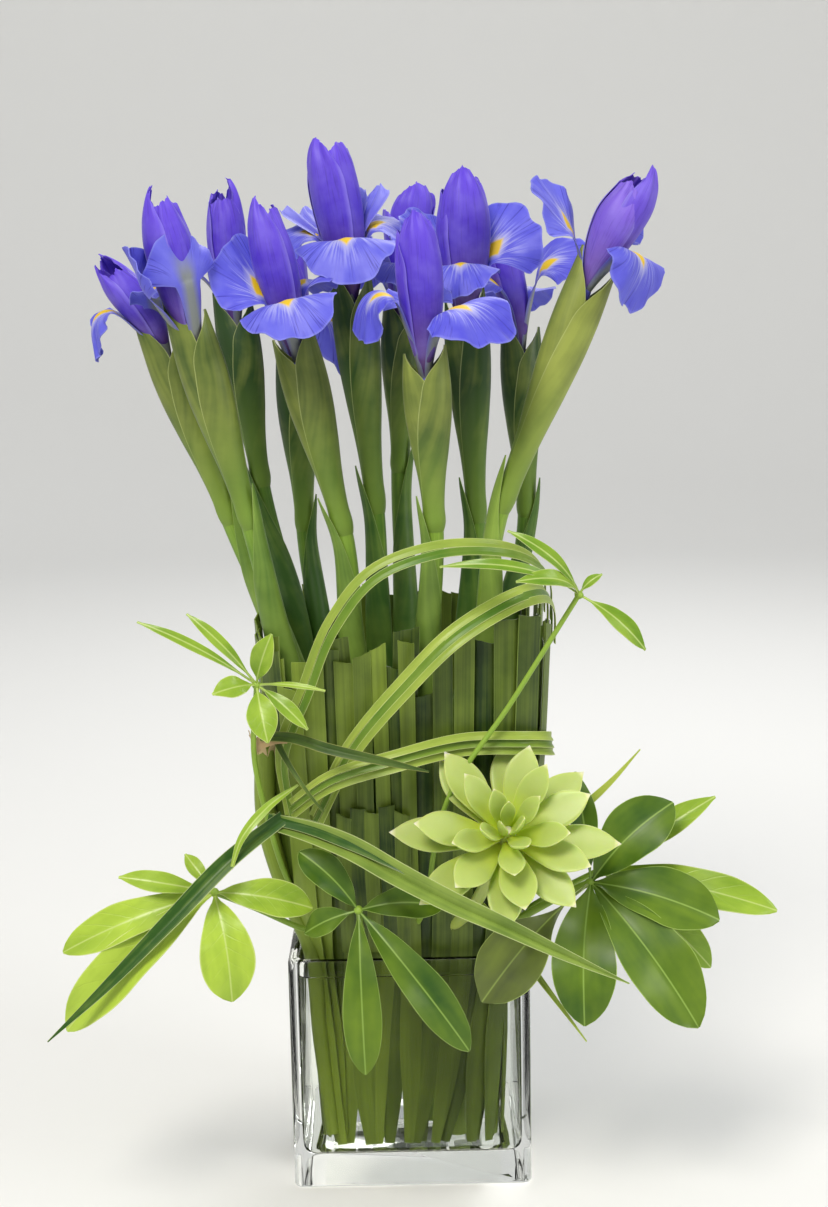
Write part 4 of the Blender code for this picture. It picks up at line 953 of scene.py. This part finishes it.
def make_whorl(spec, rng):
    """A stalk with a whorl of leaflets at its end."""
    name, finish, foot, r, way, tips = spec
    shape = Shape()
    path = route([(*foot, SUNK), (*foot, 120)] + way, 50)
    centre = path[-1]
    end = unit(centre - path[-2])
    shape.tube(path, np.linspace(r, r * 0.9, len(path)), sides=12, slot=1, tone=0.7)
    shape.tube([centre - end * 2.0, centre - end * 0.8, centre + end * 0.8, centre + end * 1.7],
               [r, 2.3, 2.2, 0.9], sides=14, slot=1, tone=0.75)
    for x, y, z, width, tone, *dry in tips:
        table = ROUND if dry else BROAD if width > 15 else LEAFLET
        bow = 0.2 if z > 320 else 0.10 if z > 140 else 0.14
        rows = leaflet(centre - np.array([0, 0, 0.2]), np.array([x, y, z], float), width, bow, table, rng)
        shape.sheet(rows, 0.6, 0, tone, dry[0] if dry else 0.0, 0.5)
    shape.build("leaves_of_" + name, [finish, "stem"], [name],
                "leaf_bright" if finish == "bright" else "leaf_dark")


FRONT, ASIDE = (0, -0.9, 0.45), (0.95, -0.2, 0.25)        # where the upper side of a blade faces
WRAPPED = ("arching_grass", "double_grass", "wrapping_grass")
GRASS = ((0, 3.2), (0.5, 4.4), (0.85, 4.0), (1, 2.8))
ARC = [(-59, -70.1, 206), (-62, -76, 242), (-50, -81, 272), (-35, -83, 307), (-15, -83, 331), (15, -80, 342),
       (50, -67, 340), (72, -34, 322), (75, -6, 296)]
DOUBLE = [(-47, -73.5, 206), (-27, -85, 246), (-1, -88, 277), (24, -86, 301), (60, -68, 317.4),
          (74.5, -30, 306.3), (76, -12, 286)]
WRAP = [(-57, -79.5, 215), (-39, -88, 230), (-4, -88, 241), (30, -80, 246.5), (60, -77.5, 246),
        (71.5, -67, 243), (74.8, -46, 237.5), (74.6, -16, 229), (71, 4, 223)]
WIDE = ((0, 2.4), (0.3, 3.6), (0.6, 4.4), (1, 3.2))
THIN = ((0, 2.8), (0.5, 4.2), (0.9, 3.6), (1, 1.5))

# Long blades: name, CAD node, its slot, finish, and strands as points, shift,
# widths, crease, shade, dryness.
BLADES = [
    ("arching_grass", "grass_arc", "grass_lime", "grass",
     [(ARC, (0, 0, 0), GRASS, 0.25, 0.5, 0), (ARC, (3.0, -2.4, -3.8), GRASS, 0.25, 0.25, 0)]),
    ("double_grass", "grass_double", "grass_lime", "grass",
     [(DOUBLE, (0, 0, 0.5), WIDE, 0.3, 0.6, 0), (DOUBLE, (2.0, -1.2, -2.4), WIDE, 0.3, 0.22, 0),
      (DOUBLE, (3.6, -2.2, -5.4), WIDE, 0.3, 0.5, 0)]),
    ("wrapping_grass", "grass_wrap", "grass_lime", "grass",
     [(WRAP, (0.4 * k, 0.5 * k, -3.9 * k), THIN, 0.35, (0.6, 0.3, 0.5)[k], 0) for k in range(3)]),
    ("torn_strap", "torn_leaf", "torn_olive", "torn",
     [([(-70, -81, 249), (-56, -88, 250), (-36, -97, 246), (-8, -101, 240), (12, -101, 235)], (0, 0, 0),
       ((0, 4.5), (0.3, 5.5), (0.8, 3.6), (1, 0.8)), 0.4, 0.25, 0),
      ([(-66, -81, 254), (-56, -89, 236), (-46, -94, 222), (-40, -94, 214)], (0, 0, 0),
       ((0, 4), (1, 1.0)), 0.3, 0.3, 0),
      ([(-74, -78, 243), (-70, -82, 248), (-63, -85, 250), (-57, -86, 249)], (0, 0.6, -1.5),
       ((0, 5), (0.5, 7), (1, 2)), 0.2, 0.5, 0.85)]),
    ("folded_strap", "folded_blade", "blade_green", "blade",
     [([(-66, -84, 206), (-47, -93, 203), (-27, -107, 199), (-3, -124, 190), (21, -136, 180.5),
        (44, -140, 170.5), (72, -143, 157), (104, -144, 142)], (0, 0, 0),
       ((0, 8), (0.15, 11), (0.5, 10.5), (0.8, 6), (1, 0.6)), 0.75, 0.5, 0),
      ([(-68, -84, 208), (-47, -93.6, 206), (-27, -107.2, 202), (-3, -123, 194), (17, -133, 185)], (0, 0, 0),
       ((0, 5), (0.35, 7.5), (0.75, 4), (1, 0.6)), 0.3, 0.08, 0),
      ([(-60, -86, 209), (-84, -100, 194), (-114, -114, 167), (-146, -124, 137), (-174, -128, 112)], (0, 0, 0),
       ((0, 7), (0.3, 9), (0.7, 6), (1, 0.6)), 0.4, 0.16, 0)]),
    ("small_leaflet", "small_leaf", "leaf_bright", "bright",
     [([(-85, -103.9, 189), (-80, -101.9, 203), (-68, -93.9, 216), (-53, -80.3, 224)], (0, 0, 0),
       ((0, 1.5), (0.5, 4.8), (1, 1.2)), 0.35, 0.6, 0)]),
    ("thin_strap", "thin_blade", "blade_green", "grass",
     [([(37.7, -75.5, 158.3), (50, -92, 147), (68, -102, 124), (87, -110, 99)], (0, 0, 0),
       ((0, 3), (0.5, 3.4), (1, 0.6)), 0.3, 0.5, 0)]),
    ("pale_blade", "pale_tip", "grass_lime", "grass",
     [([(67.9, -48, 184), (90, -58, 203), (104, -64, 218), (118, -70, 236)], (0, 0, 0),
       ((0, 3), (0.4, 4.2), (1, 0.6)), 0.3, 0.8, 0)]),
]


def make_blades():
    """Grass loops and single blades, each strand a strip of its own."""
    for name, replaced, slot, finish, strands in BLADES:
        shape = Shape()
        for points, shift, widths, crease, tone, dry in strands:
            points = np.array(points, float) + np.array(shift)
            facing = FRONT
            if name in WRAPPED:                  # past the bundle's corner a loop faces sideways
                turned = smooth(route(points, 60)[:, :1], 55, 74)
                facing = unit(np.array(FRONT) * (1 - turned) + np.array(ASIDE) * turned)
            rows = strip(points, widths, facing, 60, 9, crease=crease, wave=0.12)
            shape.sheet(rows, 0.7, 0, tone, dry)
        shape.build(name, [finish], [replaced], slot)


# ------------------------------------------------------------------ rosette

ROSETTE_SEED = 5
ROSETTE_FOOT, ROSETTE_R = (14, -42), 3.2
ROSETTE_FACE = (0.03, -0.77, 0.64)                       # the way the rosette looks
ROSETTE_WAY = [(20, -51, 135), (33, -72, 156), (43, -86, 180), (49, -97, 199)]
# Tiers of leaves from the outside in: count, reach, lift, width, thickness,
# rise and inset of the leaf's foot, turn.
TIERS = (
    (8, 54, 6, 18.5, 5.5, 1.0, 5.0, 0.1),
    (7, 47, 20, 17.5, 5.2, 4.0, 4.5, 0.55),
    (5, 38, 36, 13.5, 4.8, 6.0, 3.4, 0.2),
    (4, 31, 58, 10, 4.2, 7.5, 2.2, 0.72),
    (3, 26, 76, 7.5, 3.6, 8.0, 1.2, 0.18),
)
# Width and thickness along a leaf, as shares of the most.
LEAF_WIDE = ((0, 0.3), (0.2, 0.56), (0.42, 0.86), (0.6, 1.0), (0.76, 0.84), (0.88, 0.5), (0.95, 0.2),
             (1, 0.015))
LEAF_DEEP = ((0, 0.8), (0.36, 1.0), (0.66, 0.85), (0.86, 0.5), (0.95, 0.2), (1, 0.015))


def make_rosette_leaf():
    """A unit echeveria leaf along +X: 1 long, 1 wide and 1 thick, keeled below."""
    n, k = 26, 20
    s = np.linspace(0, 1, n)
    width, depth = ease(LEAF_WIDE, s), ease(LEAF_DEEP, s)
    points, place = [], []
    for i in range(n):
        for j in range(k):
            y, z = math.cos(2 * math.pi * j / k), math.sin(2 * math.pi * j / k)
            z = 0.30 * z * (1 - 0.55 * (1 - y * y)) if z > 0 else 0.70 * z
            points.append((s[i], y * width[i] / 2, z * depth[i] + 0.16 * s[i] * s[i] + 0.10 * y * y * width[i]))
            place.append((y, s[i], y * width[i] * 9))
    name = "rosette_leaf_unit"
    mesh = new_mesh(name, points, ring_faces(n, k, inward=True), place=place,
                    tone=np.tile([0.5, 1.0, 0.0], (n * k, 1)))
    return bpy.data.objects.new(name, mesh)


def rosette_tree():
    """Instances one leaf on each point, turned and sized by the point's own
    values with a little chance added, then makes it real."""
    tree = bpy.data.node_groups.new("rosette_leaves", "GeometryNodeTree")
    for title, kind in (("Geometry", "Geometry"), ("Leaf", "Object"), ("Size Change", "Float"),
                        ("Turn Change", "Float"), ("Seed", "Int"), ("Material", "Material")):
        tree.interface.new_socket(title, in_out="INPUT", socket_type="NodeSocket" + kind)
    tree.interface.new_socket("Geometry", in_out="OUTPUT", socket_type="NodeSocketGeometry")
    given = tree.nodes.new("NodeGroupInput").outputs
    leaf = node(tree, "GeometryNodeObjectInfo", links={"Object": given["Leaf"]}, out="Geometry")
    turn = node(tree, "GeometryNodeInputNamedAttribute", links={"Name": "turn"}, data_type="FLOAT_VECTOR")
    size = node(tree, "GeometryNodeInputNamedAttribute", links={"Name": "size"}, data_type="FLOAT_VECTOR")
    shake = node(tree, "FunctionNodeRandomValue",
                 links={"Min": (-1, -1, -1), "Max": (1, 1, 1), "Seed": given["Seed"]}, data_type="FLOAT_VECTOR")
    shake = node(tree, "VectorMath SCALE", shake, links={"Scale": given["Turn Change"]})
    turn = node(tree, "VectorMath ADD", turn, shake)
    seed = node(tree, "FunctionNodeIntegerMath ADD", given["Seed"], 1)
    grow = node(tree, "FunctionNodeRandomValue", links={"Min": (-1, -1, -1), "Max": (1, 1, 1), "Seed": seed},
                data_type="FLOAT_VECTOR")
    grow = node(tree, "VectorMath SCALE", grow, links={"Scale": given["Size Change"]})
    grow = node(tree, "VectorMath ADD", grow, (1, 1, 1))
    size = node(tree, "VectorMath MULTIPLY", size, grow)
    placed = node(tree, "GeometryNodeInstanceOnPoints",
                  links={"Points": given["Geometry"], "Instance": leaf, "Rotation": turn, "Scale": size})
    real = node(tree, "GeometryNodeRealizeInstances", links={"Geometry": placed})
    dressed = node(tree, "GeometryNodeSetMaterial", links={"Geometry": real, "Material": given["Material"]})
    tree.links.new(dressed, tree.nodes.new("NodeGroupOutput").inputs["Geometry"])
    return tree


def rosette_spots(centre, right, high, up):
    """A point for the foot of each leaf, which carries the leaf's turn and size."""
    spots, turns, sizes = [], [], []
    for count, reach, lift, width, thick, rise, inset, phase in TIERS:
        for k in range(count):
            a, e = 2 * math.pi * (k + phase) / count, math.radians(lift)
            out = right * math.cos(a) + high * math.sin(a)
            run, top = out * math.cos(e) + up * math.sin(e), up * math.cos(e) - out * math.sin(e)
            spots.append((centre + up * rise + out * inset) * MM)
            turns.append(tuple(Matrix((run, np.cross(top, run), top)).transposed().to_euler()))
            length = (reach - inset) * (1 + 0.06 * math.sin(5 * k))
            sizes.append((length * MM, width * MM, thick * MM))
    return place_object("rosette_points", new_mesh("rosette_points", spots, [], turn=turns, size=sizes))


def make_rosette():
    """The echeveria: a stalk, and its leaves made real from the instances."""
    centre = np.array(ROSETTE_WAY[-1], float)
    up = unit(np.array(ROSETTE_FACE))
    right = unit(np.array([1.0, 0, 0]) - up * up[0])
    holder, leaf = rosette_spots(centre, right, -np.cross(up, right), up), make_rosette_leaf()
    mod = holder.modifiers.new("leaves", "NODES")
    mod.node_group = rosette_tree()
    values = {"Leaf": leaf, "Size Change": 0.05, "Turn Change": 0.05, "Seed": ROSETTE_SEED,
              "Material": FINISHES["rosette"]}
    for item in mod.node_group.interface.items_tree:
        if item.in_out == "INPUT" and item.name in values:
            mod[item.identifier] = values[item.name]
    bpy.context.view_layer.update()
    made = bpy.data.meshes.new_from_object(holder.evaluated_get(bpy.context.evaluated_depsgraph_get()))
    holder.modifiers.remove(mod)
    bpy.data.objects.remove(holder)
    made.name = "echeveria_rosette"
    made.shade_smooth()
    leaves = place_object("echeveria_rosette", made)
    shape = Shape()
    shape.tube(route([(*ROSETTE_FOOT, SUNK), (*ROSETTE_FOOT, 120)] + ROSETTE_WAY, 40), ROSETTE_R, sides=16)
    shape.tube([centre + up * z for z in (-3, 2, 7, 12)], [3.2, 6.0, 5.0, 2.0], sides=20, tone=0.6)
    shape.build("echeveria_stalk", ["rosette"], ["echeveria"], "rosette_pale")
    settle(leaves, ["echeveria"])
    bpy.data.objects.remove(leaf)


# ------------------------------------------------------------------ studio

# Soft square lamps: share of the power, size, place and aim, in metres.
LAMPS = {
    "main_lamp": (1.0, 0.7, (-0.5, -1.2, 1.7), (0, 0, 0.25)),
    "side_lamp": (0.3, 0.6, (1.4, -0.7, 1.0), (0, 0, 0.3)),
    "back_lamp": (0.4, 0.6, (0.4, 1.2, 1.5), (0, 0, 0.35)),
    "wall_lamp": (0.4, 1.6, (0, 1.3, 2.3), (0, 3.2, 0.9)),
}
# The camera looks down a little at the middle of the arrangement, 1 m away.
AIM, PITCH, ROLL, LENS = (0.0064, 0, 0.30), math.radians(10), -0.02, 56.2


def make_floor(reach, sides=72):
    """A round floor that curves up into a low wall at its edge."""
    rings = [(0.4, 0), (reach - 1.0, 0)]
    rings += [(reach - 1.0 + math.sin(a), 1.0 - math.cos(a)) for a in np.linspace(0.1, math.pi / 2, 14)]
    rings.append((reach, 3.2))
    points = [(r * math.cos(2 * math.pi * k / sides), r * math.sin(2 * math.pi * k / sides), z - 0.0005)
              for r, z in rings for k in range(sides)]
    mesh = new_mesh("floor", points, ring_faces(len(rings), sides, inward=True)[:-1])
    mesh.materials.append(FINISHES["floor"])
    place_object("floor", mesh)


def make_light(scene, settings):
    """Even light from all round, and the soft lamps."""
    world = scene.world = bpy.data.worlds.new("studio")
    world.use_nodes = True
    light = world.node_tree.nodes["Background"]
    light.inputs["Color"].default_value = settings.sky_colour
    light.inputs["Strength"].default_value = settings.sky_strength
    for name, (share, size, place, aim) in LAMPS.items():
        lamp = bpy.data.lights.new(name, "AREA")
        lamp.energy, lamp.size = settings.lamp_power * share, size
        lamp.color = settings.lamp_colour if name == "main_lamp" else (1, 1, 1)
        obj = place_object(name, lamp)
        obj.location = place
        obj.rotation_euler = (Vector(aim) - Vector(place)).to_track_quat("-Z", "Y").to_euler()


def make_camera(scene):
    """The camera, and colours shown as they are given."""
    camera = bpy.data.cameras.new("camera")
    camera.sensor_fit, camera.sensor_width, camera.lens = "AUTO", 36, LENS
    scene.camera = view = place_object("camera", camera)
    view.location = Vector(AIM) + Vector((0, -math.cos(PITCH), math.sin(PITCH)))
    turn = (Vector(AIM) - view.location).to_track_quat("-Z", "Y").to_matrix() @ Matrix.Rotation(ROLL, 3, "Z")
    view.rotation_euler = turn.to_euler()
    scene.view_settings.view_transform = "Standard"


# ------------------------------------------------------------------ operators

class ARRANGEMENT_OT_vase(bpy.types.Operator):
    """Build the glass cube"""
    bl_idname = "arrangement.vase"
    bl_label = "Glass Vase"

    def execute(self, context):
        settings = context.scene.arrangement
        half, high = settings.vase_side / MM / 2, settings.vase_height / MM
        outside = [(2.0, 3.6, 0), (1.2, 4.0, 0.1), (0.5, 4.5, 0.5), (0.1, 4.9, 1.2), (0, 5.0, 2.0)]
        lip = [(0, 5.0, 1.9), (0.15, 4.9, 1.1), (0.6, 4.6, 0.4), (1.3, 4.2, 0.05), (2.5, 5.0, 0),
               (3.7, 6.3, 0.05), (4.4, 6.8, 0.4), (4.85, 7.1, 1.1), (WALL, 7.0, 1.9)]
        inside = [(WALL, 7.0, 8), (5.3, 6.9, 5), (6.3, 6.6, 2.6), (8, 6.0, 1.0), (11, 5.0, 0.2), (14, 4.5, 0),
                  (40, 4.0, 0.6)]
        profile = [(half - inset, radius, z) for inset, radius, z in outside]
        profile += [(half - inset, radius, high - down) for inset, radius, down in lip]
        profile += [(half - inset, radius, BASE + z) for inset, radius, z in inside]
        squares(profile).build("glass_cube", ["glass"], ["vase"], "vase_glass", 30)
        return {"FINISHED"}


class ARRANGEMENT_OT_water(bpy.types.Operator):
    """Fill the vase with water"""
    bl_idname = "arrangement.water"
    bl_label = "Water"

    def execute(self, context):
        settings = context.scene.arrangement
        # it reaches a little into the glass, so that no film of air shows between them
        half, level = settings.vase_side / MM / 2 - WALL + 0.12, settings.water_level / MM
        foot = [(40, 4.0, 0.45), (14, 4.5, -0.12), (11, 5.0, 0.08), (3, 6.0, 0.9), (1.3, 6.6, 2.5),
                (0.3, 6.9, 4.9), (0, 7.0, 7.9)]
        brim = [(0, 7.0, 1.2), (0.5, 7.0, 0.5), (1.4, 6.5, 0.1), (3.0, 6.0, 0)]         # it climbs the glass
        profile = [(half - inset, radius, BASE + z) for inset, radius, z in foot]
        profile += [(half - inset, radius, level + up) for inset, radius, up in brim]
        squares(profile).build("vase_water", ["water"], ["water"], "water_clear", 30)
        return {"FINISHED"}


class ARRANGEMENT_OT_straps(bpy.types.Operator):
    """Build the bundle of strap leaves"""
    bl_idname = "arrangement.straps"
    bl_label = "Strap Leaves"

    def execute(self, context):
        make_strap_bundle()
        return {"FINISHED"}


class ARRANGEMENT_OT_stems(bpy.types.Operator):
    """Build the iris stems with their bracts"""
    bl_idname = "arrangement.stems"
    bl_label = "Iris Stems"

    def execute(self, context):
        for spec in IRISES:
            make_stem(spec)
        return {"FINISHED"}


class ARRANGEMENT_OT_blooms(bpy.types.Operator):
    """Build the iris blooms"""
    bl_idname = "arrangement.blooms"
    bl_label = "Iris Blooms"

    def execute(self, context):
        for k, spec in enumerate(IRISES):
            make_bloom(spec, random.Random(BLOOM_SEED + k))
        return {"FINISHED"}


class ARRANGEMENT_OT_whorls(bpy.types.Operator):
    """Build the umbrella-tree whorls"""
    bl_idname = "arrangement.whorls"
    bl_label = "Leaf Whorls"

    def execute(self, context):
        for k, spec in enumerate(WHORLS):
            make_whorl(spec, random.Random(WHORL_SEED + k))
        return {"FINISHED"}


class ARRANGEMENT_OT_rosette(bpy.types.Operator):
    """Build the echeveria"""
    bl_idname = "arrangement.rosette"
    bl_label = "Echeveria"

    def execute(self, context):
        make_rosette()
        return {"FINISHED"}


class ARRANGEMENT_OT_blades(bpy.types.Operator):
    """Build the grass loops and loose blades"""
    bl_idname = "arrangement.blades"
    bl_label = "Grass and Blades"

    def execute(self, context):
        make_blades()
        return {"FINISHED"}


class ARRANGEMENT_OT_stage(bpy.types.Operator):
    """Set up the floor, the lamps and the camera"""
    bl_idname = "arrangement.stage"
    bl_label = "Studio"

    def execute(self, context):
        settings = context.scene.arrangement
        make_floor(settings.floor_size / 2)
        make_light(context.scene, settings)
        make_camera(context.scene)
        return {"FINISHED"}


class ARRANGEMENT_PT_panel(bpy.types.Panel):
    """Lists the operators in the order they run"""
    bl_idname = "ARRANGEMENT_PT_panel"
    bl_label = "Iris Arrangement"
    bl_space_type = "VIEW_3D"
    bl_region_type = "UI"
    bl_category = "Arrangement"

    def draw(self, context):
        for name in STEPS:
            self.layout.operator("arrangement." + name)


STEPS = ("vase", "water", "straps", "stems", "blooms", "whorls", "rosette", "blades", "stage")
CLASSES = (ArrangementSettings, ARRANGEMENT_OT_vase, ARRANGEMENT_OT_water, ARRANGEMENT_OT_straps,
           ARRANGEMENT_OT_stems, ARRANGEMENT_OT_blooms, ARRANGEMENT_OT_whorls, ARRANGEMENT_OT_rosette,
           ARRANGEMENT_OT_blades, ARRANGEMENT_OT_stage, ARRANGEMENT_PT_panel)


def register():
    for each in CLASSES:
        bpy.utils.register_class(each)
    bpy.types.Scene.arrangement = bpy.props.PointerProperty(type=ArrangementSettings)


def unregister():
    del bpy.types.Scene.arrangement
    for each in reversed(CLASSES):
        bpy.utils.unregister_class(each)


def main():
    register()
    make_finishes()
    for name in STEPS:
        getattr(bpy.ops.arrangement, name)()


if __name__ == "__main__":
    main()
